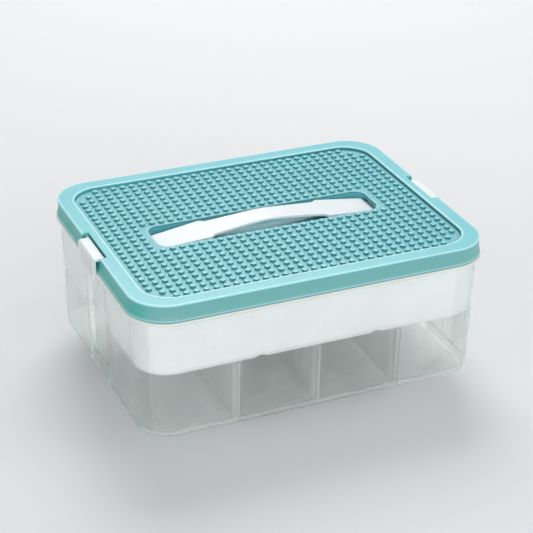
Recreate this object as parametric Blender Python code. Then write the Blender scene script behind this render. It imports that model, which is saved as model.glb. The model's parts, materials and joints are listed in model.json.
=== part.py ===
"""Toy storage case: a clear box with four compartments, a lift-out tray, and a studded lid with strap and latches.

Metres, +Z up. The origin is the centre of the case's base, on the surface that it stands on, with X along the
long side and the latches on the two short ends.
"""

import math

import bmesh
import bpy

# Overall size: the lid's rim outline and the height to the rim
CASE_LENGTH = 0.2940
CASE_WIDTH = 0.2286
CASE_HEIGHT = 0.1180
CORNER_RADIUS = 0.0310

# Clearances
SEAT_GAP = 0.0003
SLIDE_GAP = 0.0004
TRAY_CLEARANCE = 0.0007
CUT_OVERRUN = 0.0020

# Lid frame
LID_WALL = 0.0018
SKIRT_HEIGHT = 0.0140
SKIRT_WALL = 0.0015
SKIRT_FLARE = 0.0010
SKIRT_FLARE_HEIGHT = 0.0045
SKIRT_WAIST = 0.0003
RIM_BAND = 0.0126
RIM_ROUND = 0.0009
RECESS_RADIUS = 0.0240
RECESS_DEPTH = 0.0025

# Building plate and its studs
PLATE_THICKNESS = 0.0012
STUD_PITCH = 0.0080
STUD_DIAMETER = 0.0049
STUD_HEIGHT = 0.0018
STUD_SIDES = 4
STUD_EDGE_MARGIN = 0.0022
STUD_POCKET_MARGIN = 0.0010

# Handle pocket and carry strap
POCKET_LENGTH = 0.1910
POCKET_WIDTH = 0.0380
POCKET_RADIUS = 0.0100
POCKET_DEPTH = 0.0090
POCKET_DRAFT = 0.0005
STRAP_THICKNESS = 0.0024
STRAP_RISE = 0.0042
STRAP_SLOPE = 0.105
STRAP_CROWN_LENGTH = 0.0120
STRAP_MIDDLE_WIDTH = 0.0204
STRAP_WAIST_WIDTH = 0.0242
STRAP_SHOULDER_WIDTH = 0.0312
STRAP_END_WIDTH = 0.0250
STRAP_WAIST_HALF_LENGTH = 0.0465
STRAP_SHOULDER_LENGTH = 0.0060
STRAP_END_GAP = 0.0022
STRAP_EDGE_ROUND = 0.0006
TONGUE_WIDTH = 0.0200
TONGUE_THICKNESS = 0.0020
TONGUE_REACH = 0.0060
STRAP_STATIONS = 6

# Latches and their notches in the lid's rim
LATCH_WIDTH = 0.0390
LATCH_END_GAP = 0.0035
LATCH_NOTCH_DEPTH = 0.0060
LATCH_NOTCH_DROP = 0.0046
LATCH_WALL = 0.0016
LATCH_KNUCKLE_RADIUS = 0.0009
LATCH_KNUCKLE_GAP = 0.0005
LATCH_LEG_WALL = 0.0020
LATCH_LEG_GAP = 0.0012
LATCH_DISH = 0.0007
LATCH_DISH_SLOPE = 0.0016
LATCH_SIDE_BORDER = 0.0030
LATCH_TOP_BORDER = 0.0008
LATCH_LOW_BORDER = 0.0022
LATCH_LIP_FLARE = 0.0002
LATCH_LIP_HEIGHT = 0.0015
LATCH_REACH_BELOW_SKIRT = 0.0085
LATCH_CATCH_DEPTH = 0.0004
LATCH_CATCH_HEIGHT = 0.0014
LATCH_CORNER_RADIUS = 0.0015
TRUNNION_RADIUS = 0.0008
TRUNNION_SEAT = 0.0013
TRUNNION_WALL = 0.0022
TRUNNION_CLEARANCE = 0.0002

# Box
BOX_SETBACK = 0.0017
BOX_WALL = 0.0018
BOX_DRAFT = 0.0020
FOOT_HEIGHT = 0.0020
FOOT_BAND = 0.0090
FLOOR_THICKNESS = 0.0020
BASE_RADIUS = 0.0055
FLOOR_FILLET = 0.0035
FLANGE_THICKNESS = 0.0025
FLANGE_REACH = 0.0016
FLANGE_ROUND = 0.0007
UPSTAND_HEIGHT = 0.0051
UPSTAND_SETBACK = 0.0002
CHANNEL_WIDTH = 0.0455
CHANNEL_DEPTH = 0.0048
CHANNEL_BLEND = 0.0016
CHANNEL_LEDGE = 0.0100
CHANNEL_SLOPE = 0.0015
CHANNEL_HEADROOM = 0.0032

# Inner tray
TRAY_HEIGHT = 0.0544
TRAY_WALL = 0.0016
TRAY_DRAFT = 0.0016
TRAY_LIP_THICKNESS = 0.0013
TRAY_LIP_SETBACK = 0.0004
TRAY_FOOT_HEIGHT = 0.0025
TRAY_FOOT_BAND = 0.0024
TRAY_FLOOR_THICKNESS = 0.0016
TRAY_BASE_RADIUS = 0.0014
TRAY_FLOOR_FILLET = 0.0030
TRAY_RECESS_MARGIN = 0.0034
TRAY_RECESS_BLEND = 0.0060
TRAY_ARCH_WIDTH = 0.0110
TRAY_ARCH_HEIGHT = 0.0022
TRAY_ARCH_SPACING = 0.0980

# Dividers and their guide ribs
DIVIDER_COUNT = 3
DIVIDER_PITCH = 0.0675
DIVIDER_THICKNESS = 0.0016
DIVIDER_TRAY_GAP = 0.0007
DIVIDER_SIDE_GAP = 0.0005
DIVIDER_CORNER_RADIUS = 0.0040
GUIDE_DEPTH = 0.0086
GUIDE_THICKNESS = 0.0015
GUIDE_SLOT_GAP = 0.00035
GUIDE_SINK_SHARE = 0.3

# Facets of round shapes
CORNER_STEPS = 5
BLEND_STEPS = 3
FILLET_STEPS = 2
SMALL_STEPS = 4
TRUNNION_SIDES = 8
ARCH_SIDES = 20
SMOOTH_ANGLE = math.radians(35)

# Levels worked out from the sizes above
SKIRT_BOTTOM = CASE_HEIGHT - SKIRT_HEIGHT
FLANGE_TOP = SKIRT_BOTTOM - SEAT_GAP
FLANGE_BOTTOM = FLANGE_TOP - FLANGE_THICKNESS
UPSTAND_TOP = FLANGE_TOP + UPSTAND_HEIGHT
PLATE_TOP = CASE_HEIGHT - RECESS_DEPTH
LID_FLOOR = PLATE_TOP - PLATE_THICKNESS - SEAT_GAP
POCKET_FLOOR = PLATE_TOP - POCKET_DEPTH
NOTCH_FLOOR = CASE_HEIGHT - LATCH_NOTCH_DROP
TRAY_LIP_BOTTOM = UPSTAND_TOP + SEAT_GAP
TRAY_TOP = TRAY_LIP_BOTTOM + TRAY_LIP_THICKNESS
TRAY_BOTTOM = TRAY_TOP - TRAY_HEIGHT
DIVIDER_TOP = TRAY_BOTTOM - DIVIDER_TRAY_GAP
FLOOR_TOP = FOOT_HEIGHT + FLOOR_THICKNESS
CHANNEL_TOP = FLANGE_BOTTOM - CHANNEL_HEADROOM
HINGE_X = CASE_LENGTH / 2 - LATCH_NOTCH_DEPTH + LATCH_KNUCKLE_GAP + LATCH_KNUCKLE_RADIUS
HINGE_Z = NOTCH_FLOOR + SEAT_GAP + LATCH_KNUCKLE_RADIUS


def clear_scene():
    for obj in list(bpy.data.objects):
        bpy.data.objects.remove(obj, do_unlink=True)


def plastic(name, colour, roughness, alpha=1.0):
    material = bpy.data.materials.new(name)
    material.use_nodes = True
    shader = material.node_tree.nodes["Principled BSDF"]
    shader.inputs["Base Color"].default_value = (*colour, 1.0)
    shader.inputs["Roughness"].default_value = roughness
    shader.inputs["Metallic"].default_value = 0.0
    shader.inputs["Alpha"].default_value = alpha
    material.diffuse_color = (*colour, alpha)
    return material


def ease(share):
    """0 to 1 along half a cosine wave, level at both ends."""
    return (1 - math.cos(math.pi * share)) / 2


def outline(offset, z, radius=None, size=None, notch=None):
    """One ring of a rounded rectangle, anticlockwise from above.

    The rectangle is the case's outline grown by offset, or size. notch is (half width, blend, depth) of the
    step inwards at the middle of both short ends.
    """
    length, width = size or (CASE_LENGTH, CASE_WIDTH)
    half_length = length / 2 + offset
    half_width = width / 2 + offset
    turn = (CORNER_RADIUS if radius is None else radius) + offset

    def corner(side, start):
        for step in range(CORNER_STEPS + 1):
            angle = start + math.pi / 2 * step / CORNER_STEPS
            yield (
                half_length - turn + turn * math.cos(angle),
                side * (half_width - turn) + turn * math.sin(angle),
            )

    end = list(corner(-1, -math.pi / 2))
    if notch:
        notch_half, blend, depth = notch
        way_in = [
            (half_length - depth * ease(step / BLEND_STEPS), blend * (step / BLEND_STEPS - 1 / 2) - notch_half)
            for step in range(BLEND_STEPS + 1)
        ]
        end += way_in + [(x, -y) for x, y in reversed(way_in)]
    end += list(corner(1, 0))
    return [(x, y, z) for x, y in end + [(-x, -y) for x, y in end]]


def new_object(name, mesh, material=None, origin=(0, 0, 0)):
    """An object whose mesh was made in place in the world and whose origin is moved to origin."""
    for vertex in mesh.vertices:
        for axis in range(3):
            vertex.co[axis] -= origin[axis]
    obj = bpy.data.objects.new(name, mesh)
    obj.location = origin
    bpy.context.scene.collection.objects.link(obj)
    if material:
        mesh.materials.append(material)
    mesh.shade_smooth()
    mesh.set_sharp_from_angle(angle=SMOOTH_ANGLE)
    return obj


def mesh_from(name, build):
    """A mesh that build fills in, with its faces turned outwards."""
    form = bmesh.new()
    build(form)
    bmesh.ops.recalc_face_normals(form, faces=form.faces)
    mesh = bpy.data.meshes.new(name)
    form.to_mesh(mesh)
    form.free()
    return mesh


def skin_rings(form, rings, ring_shaped=False):
    """Skins a row of rings with equal counts of points, closed by end caps, or ring-shaped without caps."""
    rows = [[form.verts.new(point) for point in ring] for ring in rings]
    pairs = list(zip(rows, rows[1:]))
    if ring_shaped:
        pairs.append((rows[-1], rows[0]))
    else:
        form.faces.new(rows[0])
        form.faces.new(rows[-1])
    for low, high in pairs:
        for here in range(len(low)):
            after = (here + 1) % len(low)
            form.faces.new((low[here], low[after], high[after], high[here]))


def extrude_profile(form, profile, along, low, high):
    """A prism: profile's points across the axis named by along, from low to high on that axis."""

    def placed(point, distance):
        spot = list(point)
        spot.insert(along, distance)
        return spot

    skin_rings(form, [[placed(point, low) for point in profile], [placed(point, high) for point in profile]])


def block(form, low, high):
    """A rectangular block between two corners."""
    base = [(low[0], low[1]), (high[0], low[1]), (high[0], high[1]), (low[0], high[1])]
    extrude_profile(form, base, 2, low[2], high[2])


def circle(radius, sides, centre=(0, 0), turn_share=0.5):
    """Points round a circle, turned by a share of one side."""
    return [
        (
            centre[0] + radius * math.cos(2 * math.pi * (step + turn_share) / sides),
            centre[1] + radius * math.sin(2 * math.pi * (step + turn_share) / sides),
        )
        for step in range(sides)
    ]


def combine(target, operation, name, build):
    """A live Boolean of target with a hidden tool that build models."""
    tool = new_object(name, mesh_from(name, build))
    tool.hide_render = True
    tool.display_type = "WIRE"
    modifier = target.modifiers.new(name, "BOOLEAN")
    modifier.operation = operation
    modifier.object = tool
    modifier.solver = "EXACT"
    return tool


def box_wall(z):
    """Offset of the box's outer wall from the case's outline at height z."""
    return -BOX_SETBACK - BOX_DRAFT * (FLANGE_BOTTOM - z) / FLANGE_BOTTOM


def box_inner_half_width(z):
    return CASE_WIDTH / 2 + box_wall(z) - BOX_WALL


def divider_places():
    middle = (DIVIDER_COUNT - 1) / 2
    return [DIVIDER_PITCH * (place - middle) for place in range(DIVIDER_COUNT)]


def make_box_shell(material):
    outer_half = CHANNEL_WIDTH / 2
    inner_half = outer_half + BOX_WALL

    def outer(z, extra=0.0, depth=0.0):
        return outline(box_wall(z) + extra, z, notch=(outer_half, CHANNEL_BLEND, depth))

    def inner(z, extra=0.0, depth=CHANNEL_DEPTH):
        return outline(box_wall(z) - BOX_WALL + extra, z, notch=(inner_half, CHANNEL_BLEND, depth))

    rings = [outer(FOOT_HEIGHT, -FOOT_BAND), outer(0.0, -FOOT_BAND)]
    for step in range(FILLET_STEPS + 1):
        angle = math.pi / 2 * step / FILLET_STEPS
        rings.append(outer(BASE_RADIUS * (1 - math.cos(angle)), BASE_RADIUS * (math.sin(angle) - 1)))
    rings += [
        outer(CHANNEL_LEDGE),
        outer(CHANNEL_LEDGE + CHANNEL_SLOPE, depth=CHANNEL_DEPTH),
        outer(CHANNEL_TOP - CHANNEL_SLOPE, depth=CHANNEL_DEPTH),
        outer(CHANNEL_TOP),
        outer(FLANGE_BOTTOM),
    ]
    flange = FLANGE_REACH - box_wall(FLANGE_BOTTOM)
    rings += [
        outer(FLANGE_BOTTOM, flange - FLANGE_ROUND),
        outer(FLANGE_BOTTOM + FLANGE_ROUND, flange),
        outer(FLANGE_TOP - FLANGE_ROUND, flange),
        outer(FLANGE_TOP, flange - FLANGE_ROUND),
        outer(FLANGE_TOP, -UPSTAND_SETBACK),
        outer(UPSTAND_TOP, -UPSTAND_SETBACK),
        inner(UPSTAND_TOP, depth=0.0),
        inner(CHANNEL_TOP + CHANNEL_SLOPE + BOX_WALL, depth=0.0),
        inner(CHANNEL_TOP + BOX_WALL),
        inner(FLOOR_TOP + FLOOR_FILLET),
    ]
    for step in range(1, FILLET_STEPS + 1):
        angle = math.pi / 2 * step / FILLET_STEPS
        rings.append(
            inner(FLOOR_TOP + FLOOR_FILLET * (1 - math.sin(angle)), FLOOR_FILLET * (math.cos(angle) - 1))
        )
    shell = new_object("box_shell", mesh_from("box_shell", lambda form: skin_rings(form, rings)), material)

    def guide_ribs(form):
        low = FOOT_HEIGHT + FLOOR_THICKNESS / 2
        high = DIVIDER_TOP
        sink = GUIDE_SINK_SHARE * BOX_WALL
        slot = DIVIDER_THICKNESS / 2 + GUIDE_SLOT_GAP
        inner_end = box_inner_half_width(high) - GUIDE_DEPTH
        profile = [
            (inner_end, low),
            (box_inner_half_width(low) + sink, low),
            (box_inner_half_width(high) + sink, high),
            (inner_end, high),
        ]
        for centre in divider_places():
            for side in (-1, 1):
                for wall in (-1, 1):
                    near = centre + side * slot
                    far = near + side * GUIDE_THICKNESS
                    turned = [(wall * y, z) for y, z in profile]
                    extrude_profile(form, turned, 0, min(near, far), max(near, far))

    combine(shell, "UNION", "guide_rib_tools", guide_ribs)
    return shell


def make_inner_tray(material):
    top_offset = box_wall(FLANGE_BOTTOM) - BOX_WALL - TRAY_CLEARANCE
    recess_half = CHANNEL_WIDTH / 2 + BOX_WALL + TRAY_RECESS_MARGIN

    def wall(z):
        return top_offset - TRAY_DRAFT * (TRAY_TOP - z) / TRAY_HEIGHT

    def outer(z, extra=0.0, depth=CHANNEL_DEPTH):
        return outline(wall(z) + extra, z, notch=(recess_half, TRAY_RECESS_BLEND, depth))

    def inner(z, extra=0.0):
        notch = (recess_half + TRAY_WALL, TRAY_RECESS_BLEND, CHANNEL_DEPTH)
        return outline(wall(z) - TRAY_WALL + extra, z, notch=notch)

    foot_top = TRAY_BOTTOM + TRAY_FOOT_HEIGHT
    floor_top = foot_top + TRAY_FLOOR_THICKNESS
    lip = -BOX_SETBACK - UPSTAND_SETBACK - TRAY_LIP_SETBACK
    rings = [outer(foot_top, -TRAY_FOOT_BAND), outer(TRAY_BOTTOM, -TRAY_FOOT_BAND)]
    for step in range(FILLET_STEPS + 1):
        angle = math.pi / 2 * step / FILLET_STEPS
        rise = TRAY_BASE_RADIUS * (1 - math.cos(angle))
        rings.append(outer(TRAY_BOTTOM + rise, TRAY_BASE_RADIUS * (math.sin(angle) - 1)))
    rings += [
        outer(TRAY_LIP_BOTTOM),
        outer(TRAY_LIP_BOTTOM, lip - wall(TRAY_LIP_BOTTOM), 0.0),
        outer(TRAY_TOP, lip - wall(TRAY_TOP), 0.0),
        inner(TRAY_TOP),
        inner(floor_top + TRAY_FLOOR_FILLET),
    ]
    for step in range(1, FILLET_STEPS + 1):
        angle = math.pi / 2 * step / FILLET_STEPS
        rise = TRAY_FLOOR_FILLET * (1 - math.sin(angle))
        rings.append(inner(floor_top + rise, TRAY_FLOOR_FILLET * (math.cos(angle) - 1)))
    tray = new_object(
        "inner_tray",
        mesh_from("inner_tray", lambda form: skin_rings(form, rings)),
        material,
        (0, 0, TRAY_BOTTOM),
    )

    def arches(form):
        radius = (TRAY_ARCH_WIDTH**2 / 4 + TRAY_ARCH_HEIGHT**2) / (2 * TRAY_ARCH_HEIGHT)
        reach = CASE_WIDTH / 2
        for side in (-1, 1):
            centre = (side * TRAY_ARCH_SPACING / 2, TRAY_BOTTOM + TRAY_ARCH_HEIGHT - radius)
            extrude_profile(form, circle(radius, ARCH_SIDES, centre), 1, -reach, reach)

    combine(tray, "DIFFERENCE", "tray_arch_tools", arches)
    return tray


def make_dividers(material):
    base = FLOOR_TOP + SEAT_GAP
    low_half = box_inner_half_width(base) - DIVIDER_SIDE_GAP
    high_half = box_inner_half_width(DIVIDER_TOP) - DIVIDER_SIDE_GAP
    turn = DIVIDER_CORNER_RADIUS

    profile = []
    for side in (-1, 1):
        arc = [-math.pi / 2 * step / SMALL_STEPS for step in range(SMALL_STEPS + 1)]
        corner = [
            (side * (low_half - turn + turn * math.cos(angle)), base + turn + turn * math.sin(angle))
            for angle in arc
        ]
        edge = [(side * high_half, DIVIDER_TOP)] + corner
        profile += edge if side < 0 else edge[::-1]

    for number, centre in enumerate(divider_places(), 1):
        name = f"divider_{number}"
        half = DIVIDER_THICKNESS / 2
        mesh = mesh_from(
            name, lambda form, x=centre: extrude_profile(form, profile, 0, x - half, x + half)
        )
        new_object(name, mesh, material, (centre, 0, base))


def pocket_outline(extra, z):
    return outline(extra, z, POCKET_RADIUS, (POCKET_LENGTH, POCKET_WIDTH))


def recess_outline(extra, z):
    size = (CASE_LENGTH - 2 * RIM_BAND, CASE_WIDTH - 2 * RIM_BAND)
    return outline(extra, z, RECESS_RADIUS, size)


def tongue_levels():
    """Lowest and highest height of the strap's tongues."""
    low = POCKET_FLOOR + SEAT_GAP
    return low, low + TONGUE_THICKNESS


def make_lid(material):
    underside = LID_FLOOR - LID_WALL
    band_underside = CASE_HEIGHT - LID_WALL
    skirt_inside = -BOX_SETBACK - UPSTAND_SETBACK + SLIDE_GAP
    rings = [
        pocket_outline(-POCKET_DRAFT, POCKET_FLOOR),
        pocket_outline(0.0, LID_FLOOR),
        recess_outline(0.0, LID_FLOOR),
        recess_outline(0.0, CASE_HEIGHT - RIM_ROUND / 2),
        recess_outline(RIM_ROUND / 2, CASE_HEIGHT),
        outline(-RIM_ROUND, CASE_HEIGHT),
        outline(0.0, CASE_HEIGHT - RIM_ROUND),
        outline(-SKIRT_WAIST, (CASE_HEIGHT + SKIRT_BOTTOM) / 2),
        outline(0.0, SKIRT_BOTTOM + SKIRT_FLARE_HEIGHT),
        outline(SKIRT_FLARE * math.sin(math.pi / 4), SKIRT_BOTTOM + SKIRT_FLARE_HEIGHT / 2),
        outline(SKIRT_FLARE, SKIRT_BOTTOM + RIM_ROUND / 2),
        outline(SKIRT_FLARE - RIM_ROUND / 2, SKIRT_BOTTOM),
        outline(SKIRT_FLARE - SKIRT_WALL, SKIRT_BOTTOM),
        outline(skirt_inside, SKIRT_BOTTOM + SKIRT_FLARE_HEIGHT / 2),
        outline(skirt_inside, band_underside),
        recess_outline(LID_WALL, band_underside),
        recess_outline(LID_WALL, underside),
        pocket_outline(LID_WALL, underside),
        pocket_outline(LID_WALL - POCKET_DRAFT, POCKET_FLOOR - LID_WALL),
    ]
    lid = new_object(
        "lid", mesh_from("lid", lambda form: skin_rings(form, rings)), material, (0, 0, SKIRT_BOTTOM)
    )

    end = CASE_LENGTH / 2
    notch_half = LATCH_WIDTH / 2 + LATCH_END_GAP
    notch_wall = end - LATCH_NOTCH_DEPTH

    def both_ends(form, low_x, high_x, half_y, low_z, high_z):
        for side in (-1, 1):
            ends = sorted((side * low_x, side * high_x))
            block(form, (ends[0], -half_y, low_z), (ends[1], half_y, high_z))

    def notch_housings(form):
        outside = end + skirt_inside + SKIRT_WALL / 2
        both_ends(
            form,
            notch_wall - LATCH_WALL,
            outside,
            notch_half + TRUNNION_WALL,
            NOTCH_FLOOR - LATCH_WALL,
            CASE_HEIGHT - LID_WALL / 2,
        )

    def notches(form):
        outside = end + SKIRT_FLARE + CUT_OVERRUN
        both_ends(form, notch_wall, outside, notch_half, NOTCH_FLOOR, CASE_HEIGHT + CUT_OVERRUN)

    def trunnion_seats(form):
        reach = notch_half + TRUNNION_SEAT + TRUNNION_CLEARANCE
        for side in (-1, 1):
            hole = circle(TRUNNION_RADIUS + TRUNNION_CLEARANCE, TRUNNION_SIDES, (side * HINGE_X, HINGE_Z))
            extrude_profile(form, hole, 1, -reach, reach)

    def tongue_slots(form):
        both_ends(
            form,
            POCKET_LENGTH / 2 - CUT_OVERRUN,
            POCKET_LENGTH / 2 + LID_WALL + CUT_OVERRUN,
            TONGUE_WIDTH / 2 + SLIDE_GAP,
            POCKET_FLOOR,
            LID_FLOOR - LID_WALL,
        )

    combine(lid, "UNION", "notch_housing_tools", notch_housings)
    combine(lid, "DIFFERENCE", "notch_tools", notches)
    combine(lid, "DIFFERENCE", "trunnion_seat_tools", trunnion_seats)
    combine(lid, "DIFFERENCE", "tongue_slot_tools", tongue_slots)
    return lid


def inside_rounded(x, y, half_length, half_width, radius):
    """Whether a point lies in a rounded rectangle about the origin."""
    past_x = max(abs(x) - (half_length - radius), 0)
    past_y = max(abs(y) - (half_width - radius), 0)
    return math.hypot(past_x, past_y) <= radius


def stud_places():
    """Centres of the studs: the whole grid that fits in the recess, less what the handle pocket takes."""
    edge = STUD_DIAMETER / 2 + STUD_EDGE_MARGIN
    half_length = CASE_LENGTH / 2 - RIM_BAND - edge
    half_width = CASE_WIDTH / 2 - RIM_BAND - edge
    pocket_edge = STUD_DIAMETER / 2 + STUD_POCKET_MARGIN
    columns = math.floor(half_length / STUD_PITCH)
    rows = math.floor(half_width / STUD_PITCH)
    for column in range(-columns, columns + 1):
        for row in range(-rows, rows + 1):
            x = column * STUD_PITCH
            y = row * STUD_PITCH
            in_recess = inside_rounded(x, y, half_length, half_width, RECESS_RADIUS - edge)
            in_pocket = inside_rounded(
                x,
                y,
                POCKET_LENGTH / 2 + pocket_edge,
                POCKET_WIDTH / 2 + pocket_edge,
                POCKET_RADIUS + pocket_edge,
            )
            if in_recess and not in_pocket:
                yield x, y


def make_building_plate(material):
    low = PLATE_TOP - PLATE_THICKNESS
    rings = [
        pocket_outline(SEAT_GAP, low),
        recess_outline(-SEAT_GAP, low),
        recess_outline(-SEAT_GAP, PLATE_TOP),
        pocket_outline(SEAT_GAP, PLATE_TOP),
    ]
    plate = new_object(
        "building_plate",
        mesh_from("building_plate", lambda form: skin_rings(form, rings, ring_shaped=True)),
        material,
        (0, 0, PLATE_TOP),
    )
    # A stud with few sides keeps the area of the round one
    share = math.sqrt(2 * math.pi / (STUD_SIDES * math.sin(2 * math.pi / STUD_SIDES)))

    def studs(form):
        for place in stud_places():
            foot = circle(share * STUD_DIAMETER / 2, STUD_SIDES, place)
            extrude_profile(form, foot, 2, PLATE_TOP - PLATE_THICKNESS / 2, PLATE_TOP + STUD_HEIGHT)

    combine(plate, "UNION", "stud_tools", studs)
    return plate


def strap_top(x):
    """Height of the strap's upper face: a crown that runs out into straight slopes."""
    run = math.hypot(x, STRAP_CROWN_LENGTH) - STRAP_CROWN_LENGTH
    return PLATE_TOP + STRAP_RISE - STRAP_SLOPE * run


def strap_width(x, end):
    """Width of the strap: a slim grip that steps out to the pads, which taper to their ends."""
    waist = STRAP_WAIST_HALF_LENGTH
    shoulder = waist + STRAP_SHOULDER_LENGTH
    if x <= waist:
        return STRAP_MIDDLE_WIDTH + (STRAP_WAIST_WIDTH - STRAP_MIDDLE_WIDTH) * (x / waist) ** 2
    if x <= shoulder:
        step = (STRAP_SHOULDER_WIDTH - STRAP_WAIST_WIDTH) * ease((x - waist) / STRAP_SHOULDER_LENGTH)
        return STRAP_WAIST_WIDTH + step
    return STRAP_SHOULDER_WIDTH + (STRAP_END_WIDTH - STRAP_SHOULDER_WIDTH) * (x - shoulder) / (end - shoulder)


def make_carry_handle(material):
    end = POCKET_LENGTH / 2 - STRAP_END_GAP
    waist = STRAP_WAIST_HALF_LENGTH
    tongue_low, tongue_high = tongue_levels()
    tongue_end = POCKET_LENGTH / 2 + LID_WALL + TONGUE_REACH
    tongue_root = end - (strap_top(end) - tongue_high)

    def section(x, width, low, high):
        half = width / 2
        soft = min(STRAP_EDGE_ROUND, (high - low) / 2 - SEAT_GAP)
        upper = [(half, high - soft), (half - soft, high), (soft - half, high), (-half, high - soft)]
        lower = [(-half, low + soft), (soft - half, low), (half - soft, low), (half, low + soft)]
        return [(x, y, z) for y, z in upper + lower]

    grip = [waist * step / STRAP_STATIONS for step in range(STRAP_STATIONS + 1)]
    shoulder = [waist + STRAP_SHOULDER_LENGTH * step / BLEND_STEPS for step in range(1, BLEND_STEPS + 1)]
    pad_start = shoulder[-1]
    pad = [pad_start + (tongue_root - pad_start) * step / FILLET_STEPS for step in range(1, FILLET_STEPS + 1)]
    half_strap = [
        section(x, strap_width(x, end), strap_top(x) - STRAP_THICKNESS, strap_top(x))
        for x in grip + shoulder + pad
    ]
    half_strap += [
        section(end - STRAP_EDGE_ROUND, strap_width(end, end), tongue_low, strap_top(end)),
        section(end, strap_width(end, end) - 2 * STRAP_EDGE_ROUND, tongue_low, strap_top(end) - STRAP_EDGE_ROUND),
        section(end + STRAP_EDGE_ROUND, TONGUE_WIDTH, tongue_low, tongue_high),
        section(tongue_end, TONGUE_WIDTH, tongue_low, tongue_high),
    ]
    mirrored = [[(-x, y, z) for x, y, z in ring] for ring in reversed(half_strap[1:])]
    mesh = mesh_from("carry_handle", lambda form: skin_rings(form, mirrored + half_strap))
    return new_object("carry_handle", mesh, material, (0, 0, PLATE_TOP))


def latch_profile():
    """Side view of a latch about its hinge, as (outwards, up) from the knuckle round to the top face."""
    knuckle = LATCH_KNUCKLE_RADIUS
    leg_inside = CASE_LENGTH / 2 + SKIRT_FLARE + LATCH_LEG_GAP - HINGE_X
    leg_outside = leg_inside + LATCH_LEG_WALL
    bottom = SKIRT_BOTTOM - LATCH_REACH_BELOW_SKIRT - HINGE_Z
    catch_top = FLANGE_BOTTOM + FLANGE_THICKNESS / 2 - HINGE_Z
    catch = LATCH_CATCH_DEPTH
    height = LATCH_CATCH_HEIGHT
    lip_top = bottom + LATCH_LIP_HEIGHT
    turn = LATCH_CORNER_RADIUS

    arc = [math.pi / 2 * (1 + 2 * step / SMALL_STEPS) for step in range(SMALL_STEPS + 1)]
    profile = [(knuckle * math.cos(angle), knuckle * math.sin(angle)) for angle in arc]
    profile += [
        (leg_inside, -knuckle),
        (leg_inside, catch_top + catch),
        (leg_inside - catch, catch_top),
        (leg_inside - catch, catch_top - height),
        (leg_inside, catch_top - height - catch),
        (leg_inside, lip_top),
        (leg_inside + LATCH_LIP_FLARE, bottom),
        (leg_outside + LATCH_LIP_FLARE, bottom),
        (leg_outside + LATCH_LIP_FLARE, bottom + LATCH_LIP_FLARE),
        (leg_outside, lip_top),
        (leg_outside, -turn),
    ]
    corner = [math.pi / 2 * step / FILLET_STEPS for step in range(1, FILLET_STEPS + 1)]
    profile += [
        (leg_outside - turn + turn * math.cos(angle), knuckle - turn + turn * math.sin(angle))
        for angle in corner
    ]
    return profile


def dished_latch(form):
    """A latch across its width, its outer face dished inside a raised border."""
    half = LATCH_WIDTH / 2
    extrude_profile(form, latch_profile(), 1, -half, half)
    bmesh.ops.recalc_face_normals(form, faces=form.faces)
    face = max(form.faces, key=lambda each: each.normal.x * each.calc_area())
    middle = face.calc_center_median().z
    bmesh.ops.inset_region(form, faces=[face], thickness=LATCH_SIDE_BORDER)
    for vertex in face.verts:
        if vertex.co.z > middle:
            vertex.co.z += LATCH_SIDE_BORDER - LATCH_TOP_BORDER
        else:
            vertex.co.z -= LATCH_SIDE_BORDER - LATCH_LOW_BORDER
    bmesh.ops.inset_region(form, faces=[face], thickness=LATCH_DISH_SLOPE, depth=-LATCH_DISH)


def make_latches(material):
    pin_end = LATCH_WIDTH / 2 + LATCH_END_GAP + TRUNNION_SEAT
    plate = mesh_from("latch", dished_latch)
    pins = new_object(
        "trunnion_tools",
        mesh_from(
            "trunnion_tools",
            lambda form: extrude_profile(form, circle(TRUNNION_RADIUS, TRUNNION_SIDES), 1, -pin_end, pin_end),
        ),
    )
    pins.hide_render = True
    pins.display_type = "WIRE"
    latches = []
    for name, side in (("latch_left", -1), ("latch_right", 1)):
        latch = new_object(name, plate.copy(), material)
        tool = pins.copy()
        bpy.context.scene.collection.objects.link(tool)
        tool.parent = latch
        modifier = latch.modifiers.new("trunnions", "BOOLEAN")
        modifier.operation = "UNION"
        modifier.object = tool
        modifier.solver = "EXACT"
        latch.location = (side * HINGE_X, 0, HINGE_Z)
        latch.rotation_euler = (0, 0, math.pi if side < 0 else 0)
        latches.append(latch)
    return latches


def main():
    clear_scene()
    clear_plastic = plastic("clear plastic", (0.90, 0.95, 0.93), 0.10, 0.25)
    white_tray = plastic("white tray plastic", (0.86, 0.89, 0.91), 0.35)
    white_trim = plastic("white trim plastic", (0.93, 0.94, 0.95), 0.40)
    teal = plastic("teal plastic", (0.24, 0.60, 0.60), 0.40)
    frosted = plastic("frosted plastic", (0.88, 0.90, 0.88), 0.35, 0.45)

    make_box_shell(clear_plastic)
    make_inner_tray(white_tray)
    make_dividers(frosted)

    lid_seat = bpy.data.objects.new("lid_seat", None)
    lid_seat.location = (0, 0, SKIRT_BOTTOM)
    bpy.context.scene.collection.objects.link(lid_seat)
    riders = [make_lid(teal), make_building_plate(teal), make_carry_handle(white_trim), *make_latches(white_trim)]
    bpy.context.view_layer.update()
    for piece in riders:
        piece.parent = lid_seat
        piece.matrix_parent_inverse = lid_seat.matrix_world.inverted()


main()
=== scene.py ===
"""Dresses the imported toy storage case, from its clear box to its latches, and sets up a plain studio."""

import json
import math
from contextlib import contextmanager

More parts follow.
